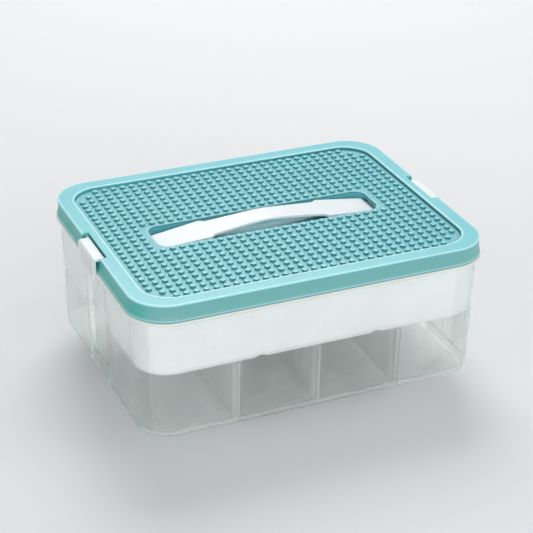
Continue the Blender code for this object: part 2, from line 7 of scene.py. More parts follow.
import bmesh
import bpy
from mathutils import Euler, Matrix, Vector

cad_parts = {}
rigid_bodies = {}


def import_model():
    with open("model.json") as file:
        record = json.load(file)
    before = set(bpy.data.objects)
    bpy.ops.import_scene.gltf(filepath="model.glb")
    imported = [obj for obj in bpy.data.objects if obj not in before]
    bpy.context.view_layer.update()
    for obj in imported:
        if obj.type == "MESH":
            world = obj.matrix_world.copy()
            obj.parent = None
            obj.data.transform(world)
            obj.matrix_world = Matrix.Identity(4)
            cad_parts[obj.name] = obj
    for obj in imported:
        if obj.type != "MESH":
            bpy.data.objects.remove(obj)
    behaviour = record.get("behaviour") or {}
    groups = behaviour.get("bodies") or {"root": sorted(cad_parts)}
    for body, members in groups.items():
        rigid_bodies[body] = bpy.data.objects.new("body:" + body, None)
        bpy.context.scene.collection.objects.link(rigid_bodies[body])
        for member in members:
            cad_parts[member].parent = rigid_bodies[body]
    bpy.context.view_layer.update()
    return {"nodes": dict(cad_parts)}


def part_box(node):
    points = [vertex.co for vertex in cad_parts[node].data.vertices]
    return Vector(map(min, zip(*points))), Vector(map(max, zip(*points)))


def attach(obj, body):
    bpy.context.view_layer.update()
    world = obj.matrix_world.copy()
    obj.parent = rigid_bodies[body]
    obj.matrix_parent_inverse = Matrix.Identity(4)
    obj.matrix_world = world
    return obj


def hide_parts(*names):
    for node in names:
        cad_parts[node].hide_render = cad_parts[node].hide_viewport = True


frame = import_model()
LID_LOW, LID_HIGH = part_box("lid")
SHELL_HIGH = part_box("box_shell")[1]
PLATE_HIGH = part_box("building_plate")[1]
TRAY_LOW, TRAY_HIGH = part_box("inner_tray")
STRAP_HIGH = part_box("carry_handle")[1]
DIVIDER_LOW, DIVIDER_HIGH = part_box("divider_2")

bl_info = {
    "name": "Toy storage case",
    "version": (1, 0, 0),
    "blender": (4, 5, 0),
    "location": "View3D > Sidebar > Storage case",
    "description": "Models and finishes the moulded pieces of a toy storage case over its packed frame",
    "category": "Object",
}

LID_END = 0.1470
TINY = 1e-5
OVERRUN = 0.002
FINE_STEPS = 12
SKIRT_STEPS = 6
RECESS_STEPS = 10
SMALL_ROUND = 0.0004
NOTCH_ROUND = 0.0006
RIB_ROUND = 0.0003
LIP_ROUND = 0.0005
POCKET_FILLET = 0.0012
SINK_SHARE = 0.3
PAD_END_SHARE = 0.8
DISH_SHARES = ((0.3, 0.25), (0.4, 0.5), (0.6, 0.25))
DISH_SHADE_SHARES = (0.9, 0.2)
SMOOTH_BELOW = 32
NORMAL_WEIGHT = 90


# Properties that a user would change


def span(name, description, default):
    return bpy.props.FloatProperty(
        name=name, description=description, default=default, min=0.0, precision=5, unit="LENGTH"
    )


def tint(name, description, default):
    return bpy.props.FloatVectorProperty(
        name=name, description=description, default=default, min=0.0, max=1.0, size=3, subtype="COLOR"
    )


def share(name, description, default):
    return bpy.props.FloatProperty(
        name=name, description=description, default=default, min=0.0, max=1.0, subtype="FACTOR"
    )


class CaseSizes(bpy.types.PropertyGroup):
    """Sizes of the pieces that are modelled here, taken from the frame where it has them."""

    length: span("Length", "Length of the lid over its rim", 2 * LID_END)
    width: span("Width", "Width of the lid over its rim", 0.2286)
    height: span("Height", "Height of the lid's rim", LID_HIGH.z)
    corner: span("Corner", "Radius of the case's corners in plan", 0.0310)
    gap: span("Seat gap", "Gap between seated pieces", 0.0003)

    box_wall: span("Box wall", "Thickness of the clear box's walls", 0.0018)
    box_setback: span("Box setback", "How far the box stands back from the lid's outline", 0.0017)
    box_draft: span("Box draft", "How far the box's walls lean in at the foot", 0.0020)
    foot_height: span("Foot height", "Height of the foot ring", 0.0020)
    foot_band: span("Foot band", "Width of the foot ring", 0.0090)
    floor: span("Floor", "Thickness of the box's floor", 0.0020)
    base_radius: span("Base radius", "Rounding of the box's lower edge", 0.0055)
    floor_fillet: span("Floor fillet", "Rounding inside the box's floor", 0.0035)
    flange: span("Flange", "Thickness of the flange under the lid's skirt", 0.0025)
    flange_reach: span("Flange reach", "How far the flange stands out past the lid", SHELL_HIGH.x - LID_END)
    flange_round: span("Flange rounding", "Rounding of the flange's edges", 0.0007)
    upstand_setback: span("Upstand setback", "How far the upstand stands back from the wall", 0.0002)
    channel_width: span("Channel width", "Width of the channel under each latch", 0.0455)
    channel_depth: span("Channel depth", "Depth of the channel under each latch", 0.0048)
    channel_low: span("Channel foot", "Height of the channel's lower end", 0.0100)
    channel_blend: span("Channel blend", "Run of the channel's sloping sides", 0.0016)
    channel_slope: span("Channel slope", "Run of the channel's sloping ends", 0.0015)
    ledge_step: span("Ledge step", "How far the channel's foot stands back from the wall", 0.0036)
    channel_headroom: span("Channel headroom", "Wall between the channel and the flange", 0.0032)
    guide_depth: span("Guide depth", "How far the guide ribs stand in from the wall", 0.0086)
    guide_wall: span("Guide rib", "Thickness of a guide rib", 0.0015)
    guide_gap: span("Guide gap", "Gap between a divider and its ribs", 0.00035)
    divider_pitch: span("Divider pitch", "Distance between the dividers", 0.0675)

    tray_wall: span("Tray wall", "Thickness of the tray's walls", 0.0016)
    tray_draft: span("Tray draft", "How far the tray's walls lean in at the foot", 0.0016)
    tray_clearance: span("Tray clearance", "Gap between the tray and the box", 0.0007)
    tray_lip: span("Tray lip", "Thickness of the lip that hangs on the rim", 0.0013)
    tray_foot: span("Tray foot", "Height of the tray's foot rim", 0.0025)
    tray_foot_band: span("Tray foot band", "Width of the tray's foot rim", 0.0024)
    tray_floor: span("Tray floor", "Thickness of the tray's floor", 0.0016)
    tray_base: span("Tray base radius", "Rounding of the tray's lower edge", 0.0014)
    tray_fillet: span("Tray fillet", "Rounding inside the tray's floor", 0.0030)
    tray_recess_margin: span("Tray recess margin", "Extra width of the tray's end recess", 0.0034)
    tray_recess_blend: span("Tray recess blend", "Run of the end recess's curved sides", 0.0060)
    arch_width: span("Arch width", "Width of the arched nibbles in the tray's foot", 0.0110)
    arch_height: span("Arch height", "Height of the arched nibbles", 0.0022)
    arch_spacing: span("Arch spacing", "Distance between the arched nibbles", 0.0980)

    lid_wall: span("Lid wall", "Thickness of the lid's floors and rim", 0.0018)
    skirt_wall: span("Skirt wall", "Thickness of the lid's skirt", 0.0015)
    skirt_flare: span("Skirt flare", "How far the skirt's foot flares out", LID_HIGH.x - LID_END)
    skirt_flare_height: span("Flare height", "Height of the flared foot", 0.0045)
    skirt_waist: span("Skirt waist", "How far the skirt pulls in at mid height", 0.0003)
    rim_band: span("Rim band", "Width of the flat rim round the plate", 0.0126)
    rim_round: span("Rim rounding", "Rounding of the rim's outer edge", 0.0009)
    recess_corner: span("Recess corner", "Radius of the plate's corners", 0.0240)
    recess_depth: span("Recess depth", "Depth of the plate's top below the rim", 0.0025)
    plate: span("Plate", "Thickness of the building plate", 0.0012)
    plate_edge: span("Plate edge", "Rounding of the plate's edges", 0.0003)
    stud_pitch: span("Stud pitch", "Distance between the studs", 0.0080)
    stud_diameter: span("Stud diameter", "Diameter of a stud", 0.0049)
    stud_height: span("Stud height", "Height of a stud", 0.0018)
    stud_round: span("Stud rounding", "Rounding of a stud's top edge", 0.00045)
    stud_edge_margin: span("Stud edge margin", "Bare strip beside the recess's wall", 0.0022)
    stud_pocket_margin: span("Stud pocket margin", "Bare strip beside the pocket", 0.0010)
    pocket_length: span("Pocket length", "Length of the handle pocket", 0.1910)
    pocket_width: span("Pocket width", "Width of the handle pocket", 0.0380)
    pocket_corner: span("Pocket corner", "Radius of the pocket's corners", 0.0100)
    pocket_depth: span("Pocket depth", "Depth of the pocket below the plate's top", 0.0090)
    pocket_draft: span("Pocket draft", "How far the pocket's walls lean in", 0.0005)

    strap_thickness: span("Strap thickness", "Thickness of the strap", 0.0024)
    strap_rise: span("Strap rise", "Height of the strap's crown above the plate", 0.0042)
    strap_slope: share("Strap slope", "Fall of the strap towards its ends", 0.105)
    strap_crown: span("Strap crown", "Length over which the crown curves", 0.0120)
    strap_middle: span("Strap middle", "Width of the strap at its middle", 0.0204)
    strap_waist: span("Strap waist", "Width of the grip where it meets the pads", 0.0242)
    strap_shoulder: span("Strap shoulder", "Width of the pads at their shoulders", 0.0312)
    strap_end: span("Strap end", "Width of the pads at their ends", 0.0250)
    strap_waist_at: span("Waist place", "Distance of the waist from the middle", 0.0465)
    strap_step: span("Shoulder run", "Length of the shoulder's curve", 0.0060)
    strap_end_gap: span("Strap end gap", "Gap between the pads and the pocket's ends", 0.0022)
    strap_round: span("Strap rounding", "Rounding of the strap's edges", 0.0007)
    tongue_width: span("Tongue width", "Width of the tongues in the pocket's slots", 0.0200)
    tongue_thickness: span("Tongue thickness", "Thickness of the tongues", 0.0020)
    slide_gap: span("Slide gap", "Gap round the tongues", 0.0004)

    latch_width: span("Latch width", "Width of a latch", 0.0390)
    latch_end_gap: span("Latch end gap", "Gap at each end of a latch in its notch", 0.0035)
    notch_depth: span("Notch depth", "Depth of the latch notch in plan", 0.0060)
    notch_drop: span("Notch drop", "Depth of the notch below the rim", 0.0046)
    notch_wall: span("Notch wall", "Thickness of the notch's walls", 0.0016)
    knuckle: span("Knuckle radius", "Radius of the latch's hinge edge", 0.0009)
    knuckle_gap: span("Knuckle gap", "Gap between the hinge edge and the notch", 0.0005)
    leg_wall: span("Leg wall", "Thickness of the latch's leg", 0.0020)
    leg_gap: span("Leg gap", "Gap between the leg and the skirt's foot", 0.0012)
    leg_below: span("Leg reach", "How far the leg reaches below the skirt", 0.0085)
    lip_flare: span("Lip flare", "How far the finger lip flares out", 0.0002)
    lip_height: span("Lip height", "Height of the finger lip", 0.0015)
    dish: span("Dish", "Depth of the dish in the latch's face", 0.0010)
    dish_slope: span("Dish slope", "Run of the dish's sloping sides", 0.0016)
    side_border: span("Side border", "Raised border beside the dish", 0.0030)
    top_border: span("Top border", "Raised border above the dish", 0.0008)
    low_border: span("Low border", "Raised border below the dish", 0.0022)
    catch_depth: span("Catch depth", "How far the catch rib stands in", 0.0004)
    catch_height: span("Catch height", "Height of the catch rib", 0.0014)
    latch_corner: span("Latch corner", "Rounding of the latch's shoulder", 0.0015)
    pin: span("Trunnion radius", "Radius of the hinge trunnions", 0.0008)
    pin_reach: span("Trunnion reach", "How far a trunnion sits in its hole", 0.0013)
    pin_gap: span("Trunnion gap", "Gap round a trunnion", 0.0002)
    pin_wall: span("Trunnion wall", "Wall beside a trunnion hole", 0.0022)

    @property
    def skirt_bottom(self):
        return LID_LOW.z

    @property
    def flange_top(self):
        return self.skirt_bottom - self.gap

    @property
    def flange_bottom(self):
        return self.flange_top - self.flange

    @property
    def upstand_top(self):
        return SHELL_HIGH.z

    @property
    def floor_top(self):
        return self.foot_height + self.floor

    @property
    def channel_top(self):
        return self.flange_bottom - self.channel_headroom

    @property
    def plate_top(self):
        return self.height - self.recess_depth

    @property
    def lid_floor(self):
        return self.plate_top - self.plate - self.gap

    @property
    def pocket_floor(self):
        return self.plate_top - self.pocket_depth

    @property
    def notch_floor(self):
        return self.height - self.notch_drop

    @property
    def hinge(self):
        """Distance of the hinge axis from the middle, and its height."""
        across = self.length / 2 - self.notch_depth + self.knuckle_gap + self.knuckle
        return across, self.notch_floor + self.gap + self.knuckle

    def box_at(self, z):
        """Offset of the box's outer wall from the lid's outline at height z."""
        return -self.box_setback - self.box_draft * (self.flange_bottom - z) / self.flange_bottom

    def tray_at(self, z):
        """Offset of the tray's outer wall from the lid's outline at height z."""
        top = self.box_at(self.flange_bottom) - self.box_wall - self.tray_clearance
        return top - self.tray_draft * (TRAY_HIGH.z - z) / (TRAY_HIGH.z - TRAY_LOW.z)


class CaseTones(bpy.types.PropertyGroup):
    """Colours and finishes of the plastics and of the studio."""

    teal: tint("Teal", "Colour of the lid and its plate", (0.124, 0.494, 0.546))
    # Painted light in the skirt tones: skirt is a painted reflection that makes the upright sides greyer, and
    # skirt_end_shade is a painted shade that darkens their short ends.
    skirt: tint("Skirt teal", "Greyer colour of the lid's upright sides", (0.176, 0.466, 0.468))
    skirt_end_shade: tint("Skirt ends", "Colour of the teal skirt at its short ends", (0.060, 0.440, 0.410))
    # The pale edge colour is a painted highlight, laid on edges that handling also polishes.
    highlit_and_worn: tint("Worn teal", "Colour of the lid's edges where handling has polished them", (0.58, 0.97, 0.98))
    strap: tint("Strap white", "Colour of the strap", (0.83, 0.885, 0.915))
    trim: tint("Trim white", "Colour of the latches", (0.86, 0.90, 0.90))
    tray: tint("Tray white", "Colour of the inner tray", (0.955, 0.968, 0.972))
    clear: tint("Clear tint", "Tint of the clear box", (0.980, 0.995, 0.988))
    # The milky colour also lays painted highlights on the clear box's edges and lines.
    milk: tint("Milky edge", "Colour of the clear plastic where it is thick and cloudy", (0.82, 0.90, 0.86))
    frost: tint("Frosted", "Colour of the frosted dividers and guide ribs", (0.74, 0.79, 0.77))
    ground: tint("Ground", "Colour of the floor and of the background", (0.80, 0.81, 0.82))
    # How strongly the pale painted highlights are laid on the lid's edges.
    edge_highlight_and_wear: share("Edge wear", "How far the lid's edges are worn pale", 0.95)
    cloudiness: share("Cloudiness", "How cloudy the clear walls are", 0.045)
    straight: share("Straight view", "Share of the view that passes the clear walls unbent", 0.30)
    lid_polish: share("Lid roughness", "Roughness of the teal plastic", 0.36)
    trim_polish: share("Trim roughness", "Roughness of the strap and the latches", 0.34)
    tray_polish: share("Tray roughness", "Roughness of the tray", 0.40)
    clear_polish: share("Clear roughness", "Roughness of the clear plastic", 0.03)


# Work in edit mode


def alone(obj):
    """Deselects everything and makes obj the one that operators act on."""
    for other in bpy.context.view_layer.objects:
        other.select_set(False)
    bpy.context.view_layer.objects.active = obj
    obj.select_set(True)
    return obj


@contextmanager
def editing(obj):
    alone(obj)
    bpy.ops.object.mode_set(mode="EDIT")
    yield
    bpy.ops.object.mode_set(mode="OBJECT")


def pick(obj, kind, test):
    """In edit mode, selects only the vertices, edges or faces that pass a test on their points."""
    bpy.ops.mesh.select_mode(type=kind)
    bpy.ops.mesh.select_all(action="DESELECT")
    form = bmesh.from_edit_mesh(obj.data)
    if kind == "VERT":
        found = [vert for vert in form.verts if test(vert.co)]
    else:
        rows = form.edges if kind == "EDGE" else form.faces
        found = [row for row in rows if test([vert.co for vert in row.verts])]
    if not found:
        raise RuntimeError(f"nothing to select on {obj.name}")
    for item in found:
        item.select_set(True)
    form.select_flush_mode()
    bmesh.update_edit_mesh(obj.data)


def pull(move):
    """Extrudes what is selected by a vector."""
    bpy.ops.mesh.extrude_region_move(TRANSFORM_OT_translate={"value": Vector(move)})


def beyond(x):
    """A test for what lies wholly at or past x."""
    return lambda points: all(p.x > x - TINY for p in points)


def short_of(x):
    """A test for what lies wholly at or before x."""
    return lambda points: all(p.x < x + TINY for p in points)


def is_upright(ends):
    """Whether an edge's ends differ in height."""
    return abs(ends[0].z - ends[1].z) > TINY


def soften(obj, test, offset, segments):
    """Bevels the edges that pass a test."""
    pick(obj, "EDGE", test)
    bpy.ops.mesh.bevel(offset=offset, segments=segments, affect="EDGES")


def slide(obj, test, move):
    """Moves the vertices that pass a test."""
    pick(obj, "VERT", test)
    bpy.ops.transform.translate(value=Vector(move))


def tidy(obj):
    """Merges doubles and turns the faces outwards."""
    with editing(obj):
        bpy.ops.mesh.select_mode(type="VERT")
        bpy.ops.mesh.select_all(action="SELECT")
        bpy.ops.mesh.remove_doubles(threshold=TINY / 5)
        bpy.ops.mesh.normals_make_consistent(inside=False)
    return obj


def apply_modifier(obj, kind, **settings):
    alone(obj)
    modifier = obj.modifiers.new(kind.title(), kind)
    for name, value in settings.items():
        setattr(modifier, name, value)
    bpy.ops.object.modifier_apply(modifier=modifier.name)
    return obj


def combine(target, tool, operation="DIFFERENCE"):
    """Applies a Boolean with a tool that isn't kept."""
    apply_modifier(target, "BOOLEAN", object=tool, operation=operation, solver="EXACT")
    bpy.data.objects.remove(tool, do_unlink=True)
    return tidy(target)


def join(pieces):
    alone(pieces[0])
    for piece in pieces:
        piece.select_set(True)
    bpy.ops.object.join()
    return pieces[0]


def settle(obj):
    """Writes an object's place, turn and size into its mesh."""
    alone(obj)
    bpy.ops.object.transform_apply(location=True, rotation=True, scale=True)
    return obj


def named(obj, name):
    obj.name = name
    obj.data.name = name
    return obj


def copied(obj, move=(0, 0, 0), turned=False):
    """A copy with its own mesh, moved, or turned half a turn about the upright middle."""
    twin = obj.copy()
    twin.data = obj.data.copy()
    bpy.context.scene.collection.objects.link(twin)
    twin.location = move
    twin.rotation_euler = (0, 0, math.pi if turned else 0)
    return settle(twin)


def both_ends(obj):
    """Joins a tool for the right end with its twin for the left end."""
    return join([obj, copied(obj, turned=True)])


def arc(centre, radius, start, end, steps):
    """Points along an arc with its ends, between angles in degrees."""
    turns = [math.radians(start + (end - start) * step / steps) for step in range(steps + 1)]
    return [(centre[0] + radius * math.cos(turn), centre[1] + radius * math.sin(turn)) for turn in turns]


def ease(part):
    """0 to 1 along half a cosine wave, level at both ends."""
    return (1 - math.cos(math.pi * part)) / 2


def chain(name, points):
    """One vertex extruded from point to point."""
    bpy.ops.mesh.primitive_plane_add(size=TINY, location=points[0])
    obj = settle(named(bpy.context.active_object, name))
    with editing(obj):
        bpy.ops.mesh.select_all(action="SELECT")
        bpy.ops.mesh.merge(type="CENTER")
        for here, there in zip(points, points[1:]):
            pull(Vector(there) - Vector(here))
    return obj


def prism(name, points, move):
    """A closed outline, filled and extruded."""
    obj = chain(name, points)
    with editing(obj):
        bpy.ops.mesh.select_all(action="SELECT")
        bpy.ops.mesh.edge_face_add()
        pull(move)
    return tidy(obj)


def cuboid(name, low, high):
    """A cube primitive between two corners, to be shaped further."""
    middle = [(a + b) / 2 for a, b in zip(low, high)]
    bpy.ops.mesh.primitive_cube_add(size=1, location=middle, scale=[b - a for a, b in zip(low, high)])
    return settle(named(bpy.context.active_object, name))


def rod(radius, length, x, z, vertices=24):
    """A cylinder along the case's width."""
    bpy.ops.mesh.primitive_cylinder_add(
        vertices=vertices, radius=radius, depth=length, location=(x, 0, z), rotation=(math.pi / 2, 0, 0)
    )
    return bpy.context.active_object


def rounded(name, profile, size, turn):
    """A solid on a rounded rectangle in plan.

    Its section is spun round one corner, run out to the middle of both sides and mirrored. The profile
    lists (outwards from the outline, up), and starts and ends over the corner's centre.
    """
    half_length, half_width = size[0] / 2, size[1] / 2
    middle = (half_length - turn, half_width - turn)
    obj = chain(name, [(half_length + out, middle[1], up) for out, up in profile])
    with editing(obj):
        bpy.ops.mesh.select_all(action="SELECT")
        bpy.ops.mesh.spin(steps=FINE_STEPS, angle=math.pi / 2, center=(*middle, 0), axis=(0, 0, -1))
        if max(v.co.y for v in bmesh.from_edit_mesh(obj.data).verts) < middle[1] + TINY:
            raise RuntimeError("the corner was spun the wrong way")

        def at_side(point):
            return abs(point.x - middle[0]) < TINY

        pick(
            obj,
            "EDGE",
            lambda ends: all(abs(p.y - middle[1]) < TINY and p.x > middle[0] - TINY for p in ends),
        )
        pull((0, -middle[1], 0))
        pick(obj, "EDGE", lambda ends: all(at_side(p) and p.y > middle[1] - TINY for p in ends))
        pull((-middle[0], 0, 0))
        pick(
            obj,
            "EDGE",
            lambda ends: all(at_side(p) and p.y < middle[1] + TINY for p in ends)
            and (ends[0] - ends[1]).length > TINY,
        )
        pull((-middle[0], 0, 0))
    tidy(obj)
    apply_modifier(obj, "MIRROR", use_axis=(True, True, False), merge_threshold=TINY)
    return tidy(obj)


def outline_size(s):
    return (s.length, s.width), s.corner


def recess_size(s):
    return (s.length - 2 * s.rim_band, s.width - 2 * s.rim_band), s.recess_corner


def pocket_size(s):
    return (s.pocket_length, s.pocket_width), s.pocket_corner


# Shader maths


class Socket:
    """A node's output, so that a finish reads as an expression."""

    def __init__(self, graph, output):
        self.graph = graph
        self.output = output

    def maths(self, operation, *values):
        return self.graph.node("ShaderNodeMath", {"operation": operation}, values)

    def __add__(self, other):
        return self.maths("ADD", self, other)

    def __radd__(self, other):
        return self.maths("ADD", other, self)

    def __sub__(self, other):
        return self.maths("SUBTRACT", self, other)

    def __rsub__(self, other):
        return self.maths("SUBTRACT", other, self)

    def __mul__(self, other):
        return self.maths("MULTIPLY", self, other)

    def __rmul__(self, other):
        return self.maths("MULTIPLY", other, self)

    def __abs__(self):
        return self.maths("ABSOLUTE", self)

    def least(self, other):
        return self.maths("MINIMUM", self, other)

    def most(self, other):
        return self.maths("MAXIMUM", self, other)

    def root(self):
        return self.maths("SQRT", self)

    def rise(self, low, high):
        """0 below low and 1 above high, with a soft step between."""
        values = {"Value": self, "From Min": low, "From Max": high}
        return self.graph.node("ShaderNodeMapRange", {"interpolation_type": "SMOOTHSTEP"}, values)

    def fall(self, low, high):
        """1 below low and 0 above high, with a soft step between."""
        return 1 - self.rise(low, high)

    def line(self, width):
        """1 on the zero line, falling softly to 0 at width on both sides."""
        return abs(self).fall(0.0, width)

    def beside(self, name):
        """Another output of the same node."""
        return Socket(self.graph, self.output.node.outputs[name])


class Graph:
    """The nodes of one material or world, all made by one method."""

    def __init__(self, owner):
        owner.use_nodes = True
        self.owner = owner
        self.tree = owner.node_tree
        self.tree.nodes.clear()

    def node(self, kind, settings=None, values=(), output=0):
        made = self.tree.nodes.new(kind)
        for name, setting in (settings or {}).items():
            setattr(made, name, setting)
        for key, value in values.items() if isinstance(values, dict) else enumerate(values):
            if isinstance(value, Socket):
                self.tree.links.new(value.output, made.inputs[key])
            else:
                made.inputs[key].default_value = value
        return Socket(self, made.outputs[output]) if made.outputs else None

    def mix_shader(self, factor, first, second):
        return self.node("ShaderNodeMixShader", {}, [factor, first, second])

    def finish(self, shader, kind="ShaderNodeOutputMaterial"):
        self.node(kind, {}, {"Surface": shader})
        return self.owner


class Finish(Graph):
    """The nodes of one material, on its piece's Object coordinates."""

    def __init__(self, name):
        super().__init__(bpy.data.materials.new(name))
        self.at = self.node("ShaderNodeTexCoord", output="Object")
        self.x = self.node("ShaderNodeSeparateXYZ", values=[self.at], output="X")
        self.y, self.z = self.x.beside("Y"), self.x.beside("Z")

    def noise(self, scale, detail=2.0, roughness=0.5, stretch=None):
        at = self.at
        if stretch:
            at = self.node("ShaderNodeVectorMath", {"operation": "MULTIPLY"}, [self.at, stretch])
        values = {"Vector": at, "Scale": scale, "Detail": detail, "Roughness": roughness}
        return self.node("ShaderNodeTexNoise", {}, values)

    def blend(self, factor, first, second):
        first, second = (c if isinstance(c, Socket) else (*c, 1.0) for c in (first, second))
        settings = {"data_type": "RGBA", "clamp_factor": True}
        return self.node("ShaderNodeMix", settings, {0: factor, 6: first, 7: second}, output=2)

    def bump(self, height, depth, under=None):
        values = {"Height": height, "Strength": 1.0, "Distance": depth}
        if under:
            values["Normal"] = under
        return self.node("ShaderNodeBump", {}, values)

    def principled(self, **values):
        named = {key.replace("_", " "): value for key, value in values.items()}
        return self.node("ShaderNodeBsdfPrincipled", {}, named)

    def outline(self, size, turn):
        """Signed distance from a rounded rectangle in plan, below zero inside it."""
        across = abs(self.x) - (size[0] / 2 - turn)
        along = abs(self.y) - (size[1] / 2 - turn)
        past_across, past_along = across.most(0.0), along.most(0.0)
        corner = (past_across * past_across + past_along * past_along).root()
        return corner + across.most(along).least(0.0) - turn


# Finishes

HARD_IOR = 1.49
CLEAR_IOR = 1.46
EDGE_LINE = 0.0018
CHANNEL_LINE = 0.0010
LEDGE_LINE = 0.0020
FLOOR_LINE = 0.0012
BASE_LINE = 0.0008

# Where soft steps begin and end, from the edge or face that each follows
RIM_TOP = (-0.0016, -0.0004)
RIM_UNDER = (-0.0024, -0.0007)
SIDE_TOP = (-0.0026, -0.0010)
SIDE_START = (0.0030, 0.0060)
SKIRT_END = (-0.0140, -0.0010)
SKIRT_UNDER = (0.0003, 0.0008)
FOOT_LINE_LOW = (0.0, 0.0004)
FOOT_LINE_HIGH = (0.0012, 0.0026)
MOUTH_TOP = (-0.0008, -0.0001)
STUD_BASE = (0.0, 0.0002)
STUD_SHOULDER = (-0.0006, -0.0003)
STUD_TOP = (-0.0003, -0.0001)
AT_WALL = (-0.0006, -0.0002)
BEHIND_RECESS = (0.0006, 0.0012)
BEHIND_NOTCH = (0.0012, 0.0024)
SHADE_START = (-0.0036, -0.0002)
SHADE_END = (0.0004, 0.0010)
SHADE_HEIGHT = (0.0002, 0.0008)
POCKET_EDGE = (0.0002, 0.0006)
POCKET_TOP = (-0.0020, -0.0006)
UNDER_STRAP_SHARES = (0.12, 0.36)
RIB_SIDE = (0.0, 0.0006)
RIB_ROOT = (-0.0006, 0.0)
RIB_TIP = (-0.0020, -0.0010)
RIB_FOOT = (0.0002, 0.0010)
FLANGE_UNDER = (-0.0002, 0.0002)
CHANNEL_MOUTH = (-0.0022, -0.0012)
CHANNEL_SIDE = (0.0, 0.0005)
LEDGE_FACE = (-0.0060, -0.0045)
DISH_BACK = (-0.0006, -0.0004)
TRAY_FOOT = (0.0, 0.0040)

# Where soft steps begin and end along the case, from its middle, and above the ground
LEFT_HALF = (-0.10, 0.06)
RIGHT_HALF = (-0.02, 0.12)
SCUFFED_FOOT = (0.004, 0.020)


def scaled(colour, factor):
    return tuple(min(1.0, channel * factor) for channel in colour)


def edge_highlights_and_wear(g, s, recess_edge, pocket_edge):
    """1 on the rim's edges and the pocket's, where handling polishes the lid and pale painted highlights go,
    and half that at its foot.
    """
    rim = (g.z - s.height).rise(*RIM_TOP)
    mouth = (g.z - s.plate_top).rise(*MOUTH_TOP)
    outer_line = (g.outline(*outline_size(s)) + s.rim_round / 2).line(EDGE_LINE) * rim
    recess_line = (recess_edge - s.rim_round * 0.8).line(EDGE_LINE) * rim
    pocket_line = pocket_edge.line(EDGE_LINE) * mouth
    foot = g.z - s.skirt_bottom
    foot_line = foot.rise(*FOOT_LINE_LOW) * foot.fall(*FOOT_LINE_HIGH)
    return outer_line.most(recess_line).most(pocket_line).most(foot_line * 0.5)


def stud_side_shade(g, s, recess_edge):
    """1 on the studs' sides, and on the recess's wall but not at its left end, where painted shade darkens
    the teal.
    """
    sides = (g.z - s.plate_top).rise(*STUD_BASE) * (g.z - PLATE_HIGH.z).fall(*STUD_SHOULDER)
    left_wall = recess_edge.rise(*AT_WALL) * g.x.fall(*LEFT_HALF)
    return sides * recess_edge.fall(*BEHIND_RECESS) * (1 - left_wall)


def recess_shade(g, s, recess_edge):
    """The shade on the plate beside the recess's wall, towards the right."""
    beside_wall = recess_edge.rise(*SHADE_START) * recess_edge.fall(*SHADE_END)
    return beside_wall * (g.z - s.plate_top).fall(*SHADE_HEIGHT) * g.x.rise(*RIGHT_HALF)


def notch_shade(g, s):
    """The shade on the wall behind each latch."""
    past_wall = abs(g.x) - (s.length / 2 - s.notch_depth)
    at_wall = past_wall.rise(*AT_WALL) * past_wall.fall(*BEHIND_NOTCH)
    under_rim = (g.z - s.height).fall(*RIM_UNDER)
    return at_wall * under_rim * (abs(g.y) - s.latch_width / 2).fall(0.0, s.latch_end_gap)


def pocket_shade(g, s, pocket_edge):
    """The shade in the pocket under the strap."""
    in_pocket = pocket_edge.fall(*POCKET_EDGE) * (g.z - s.plate_top).fall(*POCKET_TOP)
    return in_pocket * abs(g.y).fall(*(s.pocket_width * part for part in UNDER_STRAP_SHARES))


def teal_plastic(s, tones):
    """Satin teal plastic with fine grain and faint clouds, pale painted highlights on its edges where
    handling polishes it, painted shade in its corners and under its skirt, and painted sheen on its upright
    sides.
    """
    g = Finish("teal moulded plastic")
    clouds = g.noise(scale=26, detail=3)
    patches = g.noise(scale=95, detail=2)
    grain = g.noise(scale=2600, detail=1)
    recess_edge = g.outline(*recess_size(s))
    pocket_edge = g.outline(*pocket_size(s))
    # Painted highlight: the stud tops are blended towards a paler teal. They are also made a little smoother.
    stud_top_highlight = (g.z - PLATE_HIGH.z).rise(*STUD_TOP)
    # Painted reflection and shade: the upright sides take the greyer skirt tone, and their short ends take
    # the darker skirt_end_shade tone.
    upright = (g.z - s.height).fall(*SIDE_TOP) * recess_edge.rise(*SIDE_START)
    end = (abs(g.x) - s.length / 2).rise(*SKIRT_END)
    # Painted shade on the lowest part of the skirt and its bottom face.
    skirt_underside_shade = (g.z - s.skirt_bottom).fall(*SKIRT_UNDER)
    # Painted highlights along the edges, in patches. The same mask makes these edges smoother.
    highlit_and_worn = edge_highlights_and_wear(g, s, recess_edge, pocket_edge) * (0.7 + 0.3 * patches)

    colour = g.blend(clouds.rise(0.35, 0.7), scaled(tones.teal, 0.96), scaled(tones.teal, 1.04))
    colour = g.blend(upright, colour, g.blend(end, tones.skirt, tones.skirt_end_shade))
    # Painted highlight on the stud tops. Painted shade on the stud sides, beside the recess's wall, behind
    # the latches, in the pocket and under the skirt. Pale painted highlights on the edges.
    for amount, tone in (
        (stud_top_highlight * 0.34, scaled(tones.teal, 1.5)),
        (stud_side_shade(g, s, recess_edge) * 0.75, scaled(tones.teal, 0.46)),
        (recess_shade(g, s, recess_edge) * 0.60, scaled(tones.teal, 0.5)),
        (notch_shade(g, s) * 0.85, scaled(tones.teal, 0.12)),
        (pocket_shade(g, s, pocket_edge) * 0.45, scaled(tones.teal, 0.4)),
        (highlit_and_worn * tones.edge_highlight_and_wear, tones.highlit_and_worn),
        (skirt_underside_shade * 0.8, scaled(tones.teal, 0.3)),
    ):
        colour = g.blend(amount, colour, tone)
    polish = tones.lid_polish + (patches - 0.5) * 0.10 - highlit_and_worn * 0.10 - stud_top_highlight * 0.06
    normal = g.bump(grain, depth=0.000015, under=g.bump(clouds, depth=0.00025))
    return g.finish(
        g.principled(Base_Color=colour, Roughness=polish, IOR=HARD_IOR, Normal=normal, Specular_IOR_Level=0.5)
    )


